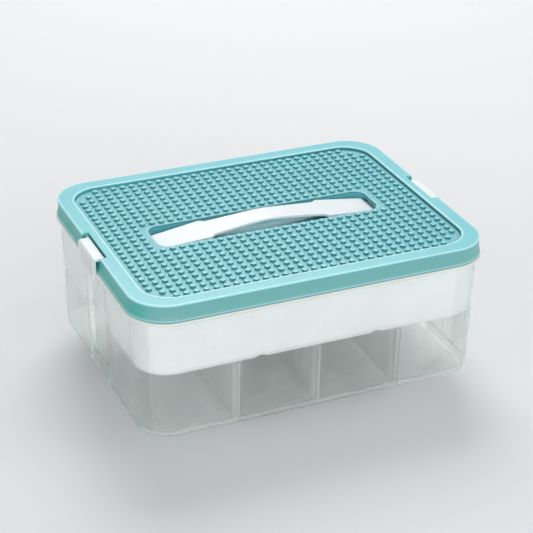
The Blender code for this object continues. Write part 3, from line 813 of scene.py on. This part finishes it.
def white_plastic(name, colour, polish, foot=None, dish=None):
    """Satin white plastic with fine grain, faint clouds and light scuffs.

    Foot is the span of heights over which the darker foot fades out, and dish the span of distances from
    the case's middle over which the shade of a dished face does.
    """
    g = Finish(name)
    clouds = g.noise(scale=30, detail=3)
    patches = g.noise(scale=140, detail=3)
    grain = g.noise(scale=2200, detail=1)
    scuffs = g.noise(scale=420, detail=2, roughness=0.6, stretch=(0.12, 1.0, 1.0)).rise(0.66, 0.78)
    base = g.blend(clouds.rise(0.3, 0.7), scaled(colour, 0.975), scaled(colour, 1.015))
    base = g.blend(scuffs * 0.10, base, scaled(colour, 0.86))
    if foot:
        base = g.blend(g.z.fall(*foot) * 0.25, base, scaled(colour, 0.90))
    if dish:
        low, high = dish
        dished = abs(g.x).fall(low, high) * (abs(g.x) - low).rise(*DISH_BACK)
        base = g.blend(dished * 0.6, base, scaled(colour, 0.8))
    roughness = polish + (patches - 0.5) * 0.12 + scuffs * 0.12
    normal = g.bump(grain, depth=0.000012, under=g.bump(clouds, depth=0.0002))
    return g.finish(g.principled(Base_Color=base, Roughness=roughness, IOR=HARD_IOR, Normal=normal))


def let_lamps_through(g, shader, colour):
    """Shadow and diffuse rays pass, so that what is inside is lit as through clear plastic."""
    shadow = g.node("ShaderNodeLightPath", output="Is Shadow Ray")
    passing = g.node("ShaderNodeBsdfTransparent", {}, [(*colour, 1.0)])
    return g.mix_shader(shadow.most(shadow.beside("Is Diffuse Ray")), shader, passing)


def rib_cover(g, s):
    """1 on the guide ribs inside the clear box."""
    near_guide = abs(g.x).least(abs(abs(g.x) - s.divider_pitch))
    guide_half = s.guide_wall + s.guide_gap + (DIVIDER_HIGH.x - DIVIDER_LOW.x) / 2
    into_wall = abs(g.y) - (s.width / 2 + s.box_at(0.0) - s.box_wall)
    across = (near_guide - guide_half).fall(*RIB_SIDE)
    along = into_wall.fall(*RIB_ROOT) * (into_wall + s.guide_depth).rise(*RIB_TIP)
    return across * along * (g.z - s.floor_top).rise(*RIB_FOOT)


def thick_and_highlit_places(g, s):
    """How milky the clear plastic looks at its flange, channels and foot, and where it is seen edge on:
    partly its real cloudiness where the plastic is thicker, and partly painted highlights along these edges
    and lines.
    """
    flange = (g.z - s.flange_bottom).rise(*FLANGE_UNDER)
    lean = (s.box_at(s.height) - s.box_at(0.0)) / s.height
    past_wall = abs(g.x) - (s.length / 2 + s.box_at(0.0)) - lean * g.z
    past_side = abs(g.y) - s.channel_width / 2
    channel_edge = past_side.line(CHANNEL_LINE) * past_wall.rise(*CHANNEL_MOUTH)
    ledge = (g.z - s.channel_low + s.channel_slope).line(LEDGE_LINE) * past_side.fall(*CHANNEL_SIDE)
    ledge = ledge * past_wall.rise(*LEDGE_FACE)
    foot_line = (g.z - s.floor_top - s.floor_fillet / 3).line(FLOOR_LINE) + g.z.line(BASE_LINE)
    edge_on = g.node("ShaderNodeLayerWeight", {}, {"Blend": 0.5}, output="Facing").rise(0.80, 0.97)
    thick_and_highlit = (flange * 0.75).most(channel_edge * 0.75).most(foot_line * 0.30).most(ledge * 0.40)
    return thick_and_highlit.most(edge_on * 0.35)


def clear_plastic(s, tones):
    """Clear moulded plastic: slight waves and haze, hairline scuffs by the foot, and frosted guide ribs."""
    g = Finish("clear moulded plastic")
    waves = g.noise(scale=20, detail=2)
    haze = g.noise(scale=60, detail=3)
    hairs = g.noise(scale=700, detail=3, roughness=0.6, stretch=(0.06, 0.06, 1.0)).rise(0.62, 0.75)
    roughness = tones.clear_polish + haze.rise(0.45, 0.8) * 0.05 + hairs * g.z.fall(*SCUFFED_FOOT) * 0.25
    normal = g.bump(waves, depth=0.00012)
    clear, milk, frost = ((*colour, 1.0) for colour in (tones.clear, tones.milk, tones.frost))
    glass = g.principled(
        Base_Color=clear, Roughness=roughness, IOR=CLEAR_IOR, Transmission_Weight=1.0, Normal=normal
    )
    unbent = g.node("ShaderNodeBsdfTransparent", {}, [clear])
    cloudy = g.principled(Base_Color=milk, Roughness=0.35, IOR=CLEAR_IOR, Normal=normal)
    frosted = g.principled(Base_Color=frost, Roughness=0.42, IOR=CLEAR_IOR, Alpha=0.62 + 0.2 * haze)
    wall = g.mix_shader(tones.straight, glass, unbent)
    # Milkiness: the real haze, plus painted highlights along the box's edges and lines.
    milkiness = tones.cloudiness + haze.rise(0.4, 0.8) * 0.04 + thick_and_highlit_places(g, s)
    wall = g.mix_shader(rib_cover(g, s) * 0.85, g.mix_shader(milkiness, wall, cloudy), frosted)
    return g.finish(let_lamps_through(g, wall, (0.985, 0.995, 0.99)))


def frosted_plastic(tones):
    """Translucent divider plastic: a cloudy white body with fine upright flow streaks."""
    g = Finish("frosted divider plastic")
    clouds = g.noise(scale=45, detail=3) - 0.5
    streaks = g.noise(scale=160, detail=2, stretch=(1.0, 1.0, 0.12))
    grain = g.noise(scale=1800, detail=1)
    body = g.principled(
        Base_Color=g.blend(streaks, scaled(tones.frost, 0.94), scaled(tones.frost, 1.06)),
        Roughness=0.38 + clouds * 0.1,
        IOR=CLEAR_IOR,
        Alpha=0.46 + clouds * 0.16 + (streaks - 0.5) * 0.12,
        Normal=g.bump(grain, depth=0.00001),
    )
    return g.finish(body)


def dress(obj, material, body, slot, *nodes):
    """Smooths a finished piece, gives it its finish, and puts it on its body in place of its nodes."""
    alone(obj)
    bpy.ops.object.shade_smooth_by_angle(angle=math.radians(SMOOTH_BELOW))
    apply_modifier(obj, "WEIGHTED_NORMAL", keep_sharp=True, weight=NORMAL_WEIGHT)
    obj.data.materials.clear()
    obj.data.materials.append(material)
    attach(obj, body)
    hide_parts(*nodes)


# Pieces


def channel_tool(s, grow, low, high):
    """The tapered block that a channel takes from the right end, grown by a wall for the inside."""
    deep = s.length / 2 + s.box_at(high) - s.channel_depth - grow
    mouth = s.length / 2 + s.channel_depth
    run = mouth - deep
    half = (s.channel_width - s.channel_blend) / 2 + grow
    tool = cuboid("channel_tool", (deep, -half, low), (mouth, half, high))
    widen = (half + run * s.channel_blend / s.channel_depth) / half
    rise = run * s.channel_slope / s.channel_depth
    lean = s.box_at(high) - s.box_at(low)
    with editing(tool):
        pick(tool, "FACE", beyond(mouth))
        bpy.ops.transform.resize(value=(1, widen, 1), center_override=(mouth, 0, (low + high) / 2))
        slide(tool, lambda p: p.x > mouth - TINY and p.z > high - TINY, (0, 0, rise))
        slide(tool, lambda p: p.x > mouth - TINY and p.z < low + TINY, (0, 0, -rise))
        slide(tool, lambda p: p.z < low + TINY, (-lean, 0, 0))
        soften(tool, short_of(deep), s.channel_blend / 2 + grow, 4)
    return both_ends(tidy(tool))


def foot_notch(s):
    """The shallow step that sets the foot of each channel back from the wall."""
    half = s.channel_width / 2 - s.channel_blend / 2
    deep = s.length / 2 + s.box_at(0.0) - s.ledge_step
    tool = cuboid("foot_notch", (deep, -half, -OVERRUN), (s.length / 2 + OVERRUN, half, s.channel_low))
    with editing(tool):
        soften(tool, lambda ends: short_of(deep)(ends) and is_upright(ends), s.channel_blend, 5)
    return both_ends(tool)


def guide_ribs(s):
    """Six pairs of guide ribs, sunk into the box's walls and floor."""
    low = s.foot_height + s.floor / 2
    high = DIVIDER_HIGH.z
    wall_low = s.width / 2 + s.box_at(low) - s.box_wall
    wall_high = s.width / 2 + s.box_at(high) - s.box_wall
    sink = s.box_wall * SINK_SHARE
    near = (DIVIDER_HIGH.x - DIVIDER_LOW.x) / 2 + s.guide_gap
    tip = wall_high - s.guide_depth
    rib = cuboid("guide_rib", (near, tip, low), (near + s.guide_wall, wall_high + sink, high))
    with editing(rib):
        slide(rib, lambda p: p.y > wall_high and p.z < low + TINY, (0, wall_low - wall_high, 0))
        soften(rib, lambda ends: all(p.y < tip + TINY for p in ends), RIB_ROUND, 2)
    pairs = both_ends(join([rib, copied(rib, (-2 * near - s.guide_wall, 0, 0))]))
    outer = [copied(pairs, (place * s.divider_pitch, 0, 0)) for place in (-1, 1)]
    return join([pairs, *outer])


def model_box(s):
    size, turn = outline_size(s)
    foot = s.box_at(0.0)
    reach, soft = s.flange_reach, s.flange_round
    stand = -s.box_setback - s.upstand_setback
    lip = SMALL_ROUND
    outside = [(-turn, s.foot_height), (foot - s.foot_band, s.foot_height), (foot - s.foot_band, 0.0)]
    outside += arc((foot - s.base_radius, s.base_radius), s.base_radius, -90, 0, 7)
    outside += [(s.box_at(s.flange_bottom), s.flange_bottom)]
    outside += arc((reach - soft, s.flange_bottom + soft), soft, -90, 0, 3)
    outside += arc((reach - soft, s.flange_top - soft), soft, 0, 90, 3)
    outside += [(stand, s.flange_top)]
    outside += arc((stand - lip, s.upstand_top - lip), lip, 0, 90, 2)
    outside += [(-turn, s.upstand_top)]
    shell = rounded("clear_box", outside, size, turn)
    combine(shell, channel_tool(s, 0.0, s.channel_low + s.channel_slope, s.channel_top - s.channel_slope))
    combine(shell, foot_notch(s))

    inner_low = s.box_at(s.floor_top) - s.box_wall
    inner_high = s.box_at(s.upstand_top + OVERRUN) - s.box_wall
    fillet = s.floor_fillet
    inside = [(-turn, s.floor_top)]
    inside += arc((inner_low - fillet, s.floor_top + fillet), fillet, -90, 0, 6)
    inside += [(inner_high, s.upstand_top + OVERRUN), (-turn, s.upstand_top + OVERRUN)]
    cavity = rounded("cavity_tool", inside, size, turn)
    combine(cavity, channel_tool(s, s.box_wall, -OVERRUN, s.channel_top))
    combine(shell, cavity)
    combine(shell, guide_ribs(s), "UNION")
    return shell


def tray_recess_tool(s, grow, high):
    """The block with curved sides that the tray's end recess takes, over the draft of the tray's wall."""
    low = TRAY_LOW.z - OVERRUN
    half = s.channel_width / 2 + s.box_wall + s.tray_recess_margin + grow
    wall_high = s.length / 2 + s.tray_at(high) - grow
    far = s.length / 2 + OVERRUN
    points = [(far, -half - s.tray_recess_blend / 2, high)]
    for step in range(RECESS_STEPS + 1):
        part = step / RECESS_STEPS
        side = s.tray_recess_blend * (part - 1 / 2) - half
        points.append((wall_high - s.channel_depth * ease(part), side, high))
    points += [(x, -y, z) for x, y, z in reversed(points)]
    tool = prism("tray_recess_tool", points, (0, 0, low - high))
    with editing(tool):
        slide(tool, lambda p: p.z < low + TINY, (s.tray_at(low) - s.tray_at(high), 0, 0))
    return both_ends(tool)


def model_tray(s):
    size, turn = outline_size(s)
    low, high = TRAY_LOW.z, TRAY_HIGH.z
    lip_low = high - s.tray_lip
    lip = TRAY_HIGH.x - s.length / 2
    foot = s.tray_at(low)
    soft = SMALL_ROUND
    ring, ring_top = foot - s.tray_foot_band, low + s.tray_foot
    outside = [(-turn, ring_top), (ring, ring_top), (ring, low)]
    outside += arc((foot - s.tray_base, low + s.tray_base), s.tray_base, -90, 0, 5)
    outside += [(s.tray_at(lip_low), lip_low)]
    outside += arc((lip - soft, lip_low + soft), soft, -90, 0, 2)
    outside += arc((lip - soft, high - soft), soft, 0, 90, 2)
    outside += [(-turn, high)]
    tray = rounded("lift_out_tray", outside, size, turn)
    combine(tray, tray_recess_tool(s, 0.0, lip_low))

    floor_top = ring_top + s.tray_floor
    inner_low = s.tray_at(floor_top) - s.tray_wall
    fillet = s.tray_fillet
    inside = [(-turn, floor_top)]
    inside += arc((inner_low - fillet, floor_top + fillet), fillet, -90, 0, 5)
    inner_high = s.tray_at(high) - s.tray_wall
    inside += [(inner_high, high), (inner_high + soft, high + soft), (-turn, high + soft)]
    cavity = rounded("tray_cavity_tool", inside, size, turn)
    combine(cavity, tray_recess_tool(s, s.tray_wall, high + OVERRUN))
    combine(tray, cavity)

    radius = (s.arch_width**2 / 4 + s.arch_height**2) / (2 * s.arch_height)
    for side in (-1, 1):
        combine(tray, rod(radius, s.width, side * s.arch_spacing / 2, low + s.arch_height - radius, 64))
    return tray


def skirt_profile(s):
    """The lid's outside from the skirt's foot up over the rim."""
    turn = s.corner
    low, high, soft = s.skirt_bottom, s.height, s.rim_round / 2
    profile = [(-turn, low)]
    profile += arc((s.skirt_flare - soft, low + soft), soft, -90, 0, 3)
    parts = [step / SKIRT_STEPS for step in range(SKIRT_STEPS)]
    for part in reversed(parts):
        flare = s.skirt_flare * math.sin(math.pi / 2 * part)
        profile.append((flare, low + s.skirt_flare_height * (1 - part)))
    start, end = low + s.skirt_flare_height, high - s.rim_round
    for part in parts[1:]:
        profile.append((-s.skirt_waist * math.sin(math.pi * part), start + (end - start) * part))
    profile += arc((-s.rim_round, end), s.rim_round, 0, 90, 5)
    return profile + [(-turn, high)]


def model_lid(s):
    size, turn = outline_size(s)
    low, high = s.skirt_bottom, s.height
    band_under = high - s.lid_wall
    under = s.lid_floor - s.lid_wall
    skirt_inside = -s.box_setback - s.upstand_setback + s.slide_gap
    lid = rounded("lid_frame", skirt_profile(s), size, turn)

    hollow = [
        (-turn, low - OVERRUN),
        (s.skirt_flare - s.skirt_wall, low - OVERRUN),
        (s.skirt_flare - s.skirt_wall, low),
        (skirt_inside, low + s.skirt_flare_height / 2),
        (skirt_inside, band_under),
        (-turn, band_under),
    ]
    hollow = rounded("lid_hollow_tool", hollow, size, turn)
    size, turn = recess_size(s)
    well = [(-turn, under), (s.lid_wall, under), (s.lid_wall, high), (-turn, high)]
    combine(hollow, rounded("well_tool", well, size, turn))
    combine(lid, hollow)
    soft = s.rim_round / 2
    recess = [(-turn, s.lid_floor), (0.0, s.lid_floor), (0.0, high - soft), (soft * 0.3, high - soft * 0.3)]
    recess += [(soft, high), (soft, high + OVERRUN), (-turn, high + OVERRUN)]
    combine(lid, rounded("recess_tool", recess, size, turn))

    size, turn = pocket_size(s)
    housing_low = s.pocket_floor - s.lid_wall
    grow, draft = s.lid_wall, s.pocket_draft
    housing = [(-turn, housing_low), (grow - draft, housing_low), (grow, s.lid_floor - grow / 2)]
    combine(lid, rounded("housing_tool", housing + [(-turn, s.lid_floor - grow / 2)], size, turn), "UNION")
    base = POCKET_FILLET
    pocket = [(-turn, s.pocket_floor)]
    pocket += arc((-draft - base, s.pocket_floor + base), base, -90, 0, 4)
    pocket += [(0.0, s.lid_floor), (0.0, high), (-turn, high)]
    combine(lid, rounded("pocket_tool", pocket, size, turn))

    end = s.length / 2
    notch_half = s.latch_width / 2 + s.latch_end_gap
    notch_at = end - s.notch_depth
    outer = end + skirt_inside + s.skirt_wall / 2
    half = notch_half + s.pin_wall
    housing = cuboid(
        "notch_housing_tool",
        (notch_at - s.notch_wall, -half, s.notch_floor - s.notch_wall),
        (outer, half, high - s.lid_wall / 2),
    )
    combine(lid, both_ends(housing), "UNION")
    notch = cuboid(
        "notch_tool",
        (notch_at, -notch_half, s.notch_floor),
        (end + s.skirt_flare + OVERRUN, notch_half, high + OVERRUN),
    )
    with editing(notch):
        soften(notch, lambda ends: short_of(notch_at)(ends) and is_upright(ends), NOTCH_ROUND, 3)
    combine(lid, both_ends(notch))

    across, height = s.hinge
    reach = 2 * (notch_half + s.pin_reach + s.pin_gap)
    for side in (-1, 1):
        combine(lid, rod(s.pin + s.pin_gap, reach, side * across, height))
    slot_half = s.tongue_width / 2 + s.slide_gap
    slot = cuboid(
        "slot_tool",
        (s.pocket_length / 2 - OVERRUN, -slot_half, s.pocket_floor),
        (s.pocket_length / 2 + s.lid_wall + OVERRUN, slot_half, s.lid_floor - s.lid_wall),
    )
    combine(lid, both_ends(slot))
    return lid


def in_rounded(x, y, half_length, half_width, turn):
    """Whether a point lies in a rounded rectangle about the middle."""
    past_x = max(abs(x) - (half_length - turn), 0)
    past_y = max(abs(y) - (half_width - turn), 0)
    return math.hypot(past_x, past_y) <= turn


def model_plate(s):
    size, turn = recess_size(s)
    low, high, soft = s.plate_top - s.plate, s.plate_top, s.plate_edge
    profile = [(-turn, low), (-s.gap, low)]
    profile += arc((-s.gap - soft, high - soft), soft, 0, 90, 2)
    profile += [(-turn, high)]
    plate = rounded("stud_plate", profile, size, turn)
    size, turn = pocket_size(s)
    gap = s.gap
    mouth = [(-turn, low - OVERRUN), (gap, low - OVERRUN), (gap, high - soft), (gap + soft, high)]
    mouth += [(gap + soft, high + OVERRUN), (-turn, high + OVERRUN)]
    combine(plate, rounded("mouth_tool", mouth, size, turn))

    edge = s.stud_diameter / 2 + s.stud_edge_margin
    half_length = s.length / 2 - s.rim_band - edge
    half_width = s.width / 2 - s.rim_band - edge
    columns = math.floor(half_length / s.stud_pitch)
    rows = math.floor(half_width / s.stud_pitch)
    sink = s.plate / 4
    first = (-columns * s.stud_pitch, -rows * s.stud_pitch)
    bpy.ops.mesh.primitive_cylinder_add(
        vertices=18,
        radius=s.stud_diameter / 2,
        depth=s.stud_height + sink,
        location=(*first, high + (s.stud_height - sink) / 2),
    )
    studs = settle(bpy.context.active_object)
    top = high + s.stud_height
    with editing(studs):
        soften(studs, lambda ends: all(p.z > top - TINY for p in ends), s.stud_round, 2)
    for count, offset in (
        (2 * columns + 1, (s.stud_pitch, 0, 0)),
        (2 * rows + 1, (0, s.stud_pitch, 0)),
    ):
        apply_modifier(
            studs,
            "ARRAY",
            count=count,
            use_relative_offset=False,
            use_constant_offset=True,
            constant_offset_displace=offset,
        )
    margin = s.stud_diameter / 2 + s.stud_pocket_margin

    def unwanted(point):
        x = round(point.x / s.stud_pitch) * s.stud_pitch
        y = round(point.y / s.stud_pitch) * s.stud_pitch
        held = in_rounded(x, y, half_length, half_width, s.recess_corner - edge)
        return not held or in_rounded(x, y, size[0] / 2 + margin, size[1] / 2 + margin, turn + margin)

    with editing(studs):
        pick(studs, "VERT", unwanted)
        bpy.ops.mesh.delete(type="VERT")
    return join([plate, studs])


def strap_top(s, x):
    run = math.hypot(x, s.strap_crown) - s.strap_crown
    return s.plate_top + s.strap_rise - s.strap_slope * run


def strap_breadth(s, x, end):
    """Width of the strap: a slim grip that steps out to pads, which taper to their ends."""
    waist, shoulder = s.strap_waist_at, s.strap_waist_at + s.strap_step
    if x <= waist:
        return s.strap_middle + (s.strap_waist - s.strap_middle) * (x / waist) ** 2
    if x <= shoulder:
        return s.strap_waist + (s.strap_shoulder - s.strap_waist) * ease((x - waist) / s.strap_step)
    return s.strap_shoulder + (s.strap_end - s.strap_shoulder) * (x - shoulder) / (end - shoulder)


def model_strap(s):
    end = s.pocket_length / 2 - s.strap_end_gap
    tongue_low = s.pocket_floor + s.gap
    tongue_high = tongue_low + s.tongue_thickness
    tongue_end = STRAP_HIGH.x
    waist, shoulder = s.strap_waist_at, s.strap_waist_at + s.strap_step
    root = end - (strap_top(s, end) - tongue_high)
    stations = []
    for start, stop, steps in ((0.0, waist, 14), (waist, shoulder, 8), (shoulder, root, 6)):
        stations += [start + (stop - start) * step / steps for step in range(1, steps + 1)]
    half = s.strap_middle / 2
    first = stations[0] / 2
    strap = cuboid(
        "carry_strap",
        (0, -half, strap_top(s, 0) - s.strap_thickness),
        (first, half, strap_top(s, 0)),
    )
    with editing(strap):
        here, breadth, top = first, 2 * half, strap_top(s, 0)
        for place in stations:
            pick(strap, "FACE", beyond(here))
            pull((place - here, 0, strap_top(s, place) - top))
            wider = strap_breadth(s, place, end)
            bpy.ops.transform.resize(value=(1, wider / breadth, 1), center_override=(place, 0, 0))
            here, breadth, top = place, wider, strap_top(s, place)
        # The pad's end turns down to the tongue
        under = top - s.strap_thickness
        pick(strap, "FACE", beyond(here))
        pull((end - here, 0, strap_top(s, end) - top))
        wider = strap_breadth(s, end, end)
        bpy.ops.transform.resize(value=(1, wider / breadth, 1), center_override=(end, 0, 0))
        fall = under + strap_top(s, end) - top - tongue_low
        slide(strap, lambda p: p.x > end - TINY and p.z < tongue_high + s.strap_thickness / 2, (0, 0, -fall))

        def runs_along(ends):
            return abs(ends[0].x - ends[1].x) > TINY and all(abs(p.y) > half / 2 for p in ends)

        soften(strap, runs_along, s.strap_round, 3)
        soften(
            strap,
            lambda ends: beyond(end)(ends) and all(p.z > tongue_high for p in ends),
            s.strap_round * PAD_END_SHARE,
            2,
        )
    tongue = cuboid(
        "tongue",
        (end - s.strap_thickness, -s.tongue_width / 2, tongue_low),
        (tongue_end, s.tongue_width / 2, tongue_high),
    )
    with editing(tongue):
        soften(tongue, beyond(tongue_end), SMALL_ROUND, 2)
    combine(tidy(strap), tongue, "UNION")
    with editing(strap):
        pick(strap, "FACE", short_of(0.0))
        bpy.ops.mesh.delete(type="ONLY_FACE")
    apply_modifier(strap, "MIRROR", use_axis=(True, False, False), merge_threshold=TINY)
    return tidy(strap)


def model_latch(s):
    """The right latch: its side view extruded across, with a dished face inside a raised border."""
    across, height = s.hinge
    knuckle, turn = s.knuckle, s.latch_corner
    inside = s.length / 2 + s.skirt_flare + s.leg_gap
    outside = inside + s.leg_wall
    bottom = s.skirt_bottom - s.leg_below
    catch_top = s.flange_bottom + s.flange / 2
    catch, lip_top = s.catch_depth, bottom + s.lip_height
    flare = s.lip_flare
    top = height + knuckle
    points = arc((across, height), knuckle, 90, 270, 8)
    points += [
        (inside, height - knuckle),
        (inside, catch_top + catch),
        (inside - catch, catch_top),
        (inside - catch, catch_top - s.catch_height),
        (inside, catch_top - s.catch_height - catch),
        (inside, lip_top),
        (inside + flare, bottom),
    ]
    points += arc((outside + flare - LIP_ROUND, bottom + LIP_ROUND), LIP_ROUND, -90, 0, 3)
    points += [(outside, lip_top)]
    points += arc((outside - turn, top - turn), turn, 0, 90, 5)
    half = s.latch_width / 2
    latch = prism("latch_plate", [(x, -half, z) for x, z in points], (0, 2 * half, 0))
    with editing(latch):

        def borders_face(ends):
            on_side = all(abs(abs(p.y) - half) < TINY for p in ends) and abs(ends[0].y - ends[1].y) < TINY
            past_turn = (ends[0].x + ends[1].x) / 2 > outside - turn
            return on_side and past_turn and all(p.x > outside - turn * 1.1 for p in ends)

        soften(latch, borders_face, NOTCH_ROUND, 3)
        pick(
            latch,
            "FACE",
            lambda ends: all(abs(p.x - outside) < TINY for p in ends)
            and max(p.z for p in ends) - min(p.z for p in ends) > s.leg_below / 2,
        )
        bpy.ops.mesh.inset(thickness=s.side_border, depth=0.0)
        middle = (lip_top + top) / 2

        def inner(point):
            return abs(point.x - outside) < TINY and abs(point.y) < half - s.side_border / 2

        slide(latch, lambda p: inner(p) and p.z > middle, (0, 0, s.side_border - s.top_border))
        slide(latch, lambda p: inner(p) and p.z < middle, (0, 0, s.low_border - s.side_border))
        pick(latch, "FACE", lambda ends: all(inner(p) for p in ends))
        for run, fall in DISH_SHARES:
            bpy.ops.mesh.inset(thickness=s.dish_slope * run, depth=-s.dish * fall)
    return tidy(latch)


def with_pins(s, latch):
    """Joins the hinge trunnions to a latch."""
    length = s.latch_width + 2 * (s.latch_end_gap + s.pin_reach)
    return combine(latch, rod(s.pin, length, *s.hinge), "UNION")


# Operators


class PieceOperator:
    """What the operators share: the sizes and tones of the scene."""

    bl_options = {"REGISTER", "UNDO"}

    @property
    def sizes(self):
        return bpy.context.scene.case_sizes

    @property
    def tones(self):
        return bpy.context.scene.case_tones


class CASE_OT_clear_box(PieceOperator, bpy.types.Operator):
    """Models the clear box with its flange, channels, foot ring and guide ribs"""

    bl_idname = "case.clear_box"
    bl_label = "Clear box"

    def execute(self, context):
        material = clear_plastic(self.sizes, self.tones)
        dress(model_box(self.sizes), material, "box", "clear_plastic", "box_shell")
        return {"FINISHED"}


class CASE_OT_tray(PieceOperator, bpy.types.Operator):
    """Models the white tray that hangs in the upper half of the box"""

    bl_idname = "case.tray"
    bl_label = "Lift-out tray"

    def execute(self, context):
        foot = [TRAY_LOW.z + up for up in TRAY_FOOT]
        material = white_plastic("white tray plastic", self.tones.tray, self.tones.tray_polish, foot)
        dress(model_tray(self.sizes), material, "tray", "tray_plastic", "inner_tray")
        return {"FINISHED"}


class CASE_OT_dividers(PieceOperator, bpy.types.Operator):
    """Gives the three dividers their frosted finish"""

    bl_idname = "case.dividers"
    bl_label = "Dividers"

    def execute(self, context):
        material = frosted_plastic(self.tones)
        for number in (1, 2, 3):
            node = frame["nodes"][f"divider_{number}"]
            for slot in node.material_slots:
                slot.material = material
        return {"FINISHED"}


class CASE_OT_lid(PieceOperator, bpy.types.Operator):
    """Models the teal lid frame and the studded plate in its recess"""

    bl_idname = "case.lid"
    bl_label = "Lid and stud plate"

    def execute(self, context):
        material = teal_plastic(self.sizes, self.tones)
        dress(model_lid(self.sizes), material, "lid", "lid_plastic", "lid")
        dress(model_plate(self.sizes), material, "lid", "lid_plastic", "building_plate")
        return {"FINISHED"}


class CASE_OT_strap(PieceOperator, bpy.types.Operator):
    """Models the white carry strap"""

    bl_idname = "case.strap"
    bl_label = "Carry strap"

    def execute(self, context):
        material = white_plastic("white strap plastic", self.tones.strap, self.tones.trim_polish)
        dress(model_strap(self.sizes), material, "handle", "trim_plastic", "carry_handle")
        return {"FINISHED"}


class CASE_OT_latches(PieceOperator, bpy.types.Operator):
    """Models one latch and copies it to the other end"""

    bl_idname = "case.latches"
    bl_label = "Latches"

    def execute(self, context):
        s = self.sizes
        face = s.length / 2 + s.skirt_flare + s.leg_gap + s.leg_wall
        dish = [face - s.dish * part for part in DISH_SHADE_SHARES]
        material = white_plastic("white latch plastic", self.tones.trim, self.tones.trim_polish, dish=dish)
        right = with_pins(s, model_latch(s))
        right.name = "latch_plate_right"
        left = copied(right, turned=True)
        left.name = "latch_plate_left"
        dress(right, material, "latch_right", "trim_plastic", "latch_right")
        dress(left, material, "latch_left", "trim_plastic", "latch_left")
        return {"FINISHED"}


LAMP_AIM = (0.0, 0.0, 0.06)
LAMPS = (
    ("key", (0.55, 1.50, 1.72), 1.1, 27.5),
    ("front fill", (-0.5, -2.2, 1.0), 2.0, 25.5),
    ("left fill", (-2.0, -0.1, 0.8), 1.2, 4.5),
    ("right fill", (2.2, -0.6, 0.9), 1.2, 11.0),
)
CAMERA_PLACE = (-0.4719924, -1.0781879, 0.6893448)
CAMERA_TURN = (1.0869258, -0.0112854, -0.4085854)
CAMERA_SENSOR = 36.0
CAMERA_LENS = 109.2926
FLOOR_SIZE = 14.0
FLOOR_GAP = 0.0001
FLOOR_FADE = (1.0, 2.2)
AMBIENT_COLOUR = (0.97, 0.985, 1.0)
AMBIENT_STRENGTH = 0.36


class CASE_OT_studio(PieceOperator, bpy.types.Operator):
    """Sets up the plain floor, the soft lights, the background and the camera"""

    bl_idname = "case.studio"
    bl_label = "Studio"

    def execute(self, context):
        scene = context.scene
        scene.view_settings.view_transform = "Standard"
        self.floor()
        self.background(scene)
        for name, place, size, power in LAMPS:
            bpy.ops.object.light_add(type="AREA", location=place)
            lamp = context.active_object
            lamp.name = f"{name} light"
            lamp.data.shape = "SQUARE"
            lamp.data.size = size
            lamp.data.energy = power
            lamp.rotation_euler = (Vector(LAMP_AIM) - lamp.location).to_track_quat("-Z", "Y").to_euler()
        bpy.ops.object.camera_add(location=CAMERA_PLACE)
        camera = context.active_object
        camera.rotation_euler = Euler(CAMERA_TURN)
        camera.data.sensor_width = CAMERA_SENSOR
        camera.data.lens = CAMERA_LENS
        scene.camera = camera
        return {"FINISHED"}

    def floor(self):
        bpy.ops.mesh.primitive_plane_add(size=FLOOR_SIZE, location=(0, 0, -FLOOR_GAP))
        ground = bpy.context.active_object
        ground.name = "studio_floor"
        g = Finish("studio floor")
        grain = g.noise(scale=600, detail=2)
        colour = g.blend(grain, scaled(self.tones.ground, 0.995), scaled(self.tones.ground, 1.005))
        fade = (g.x * g.x + g.y * g.y).root().fall(*FLOOR_FADE)
        ground.data.materials.append(g.finish(g.principled(Base_Color=colour, Roughness=0.75, Alpha=fade)))

    def background(self, scene):
        """A plain colour to the camera, in reflections and through the box, and a dim light elsewhere."""
        scene.world = bpy.data.worlds.new("studio world")
        g = Graph(scene.world)
        camera = g.node("ShaderNodeLightPath", output="Is Camera Ray")
        seen = camera.most(camera.beside("Is Glossy Ray")).most(camera.beside("Is Transmission Ray"))
        plain = {"Color": (*self.tones.ground, 1.0), "Strength": 1.0}
        dim = {"Color": (*AMBIENT_COLOUR, 1.0), "Strength": AMBIENT_STRENGTH}
        shown, ambient = (g.node("ShaderNodeBackground", {}, values) for values in (plain, dim))
        g.finish(g.mix_shader(seen, ambient, shown), "ShaderNodeOutputWorld")


PIECES = (
    CASE_OT_clear_box,
    CASE_OT_tray,
    CASE_OT_dividers,
    CASE_OT_lid,
    CASE_OT_strap,
    CASE_OT_latches,
    CASE_OT_studio,
)


class CASE_PT_panel(bpy.types.Panel):
    """Lists the pieces of the storage case and their sizes and colours"""

    bl_idname = "CASE_PT_panel"
    bl_label = "Toy storage case"
    bl_space_type = "VIEW_3D"
    bl_region_type = "UI"
    bl_category = "Storage case"

    def draw(self, context):
        for piece in PIECES:
            self.layout.operator(piece.bl_idname)
        for title, group in (("Sizes", context.scene.case_sizes), ("Tones", context.scene.case_tones)):
            box = self.layout.box()
            box.label(text=title)
            for name in group.__annotations__:
                box.prop(group, name)


CLASSES = (CaseSizes, CaseTones, *PIECES, CASE_PT_panel)


def register():
    for each in CLASSES:
        bpy.utils.register_class(each)
    bpy.types.Scene.case_sizes = bpy.props.PointerProperty(type=CaseSizes)
    bpy.types.Scene.case_tones = bpy.props.PointerProperty(type=CaseTones)


def unregister():
    del bpy.types.Scene.case_tones
    del bpy.types.Scene.case_sizes
    for each in reversed(CLASSES):
        bpy.utils.unregister_class(each)


def main():
    register()
    for piece in PIECES:
        group, action = piece.bl_idname.split(".")
        getattr(getattr(bpy.ops, group), action)()


if __name__ == "__main__":
    main()
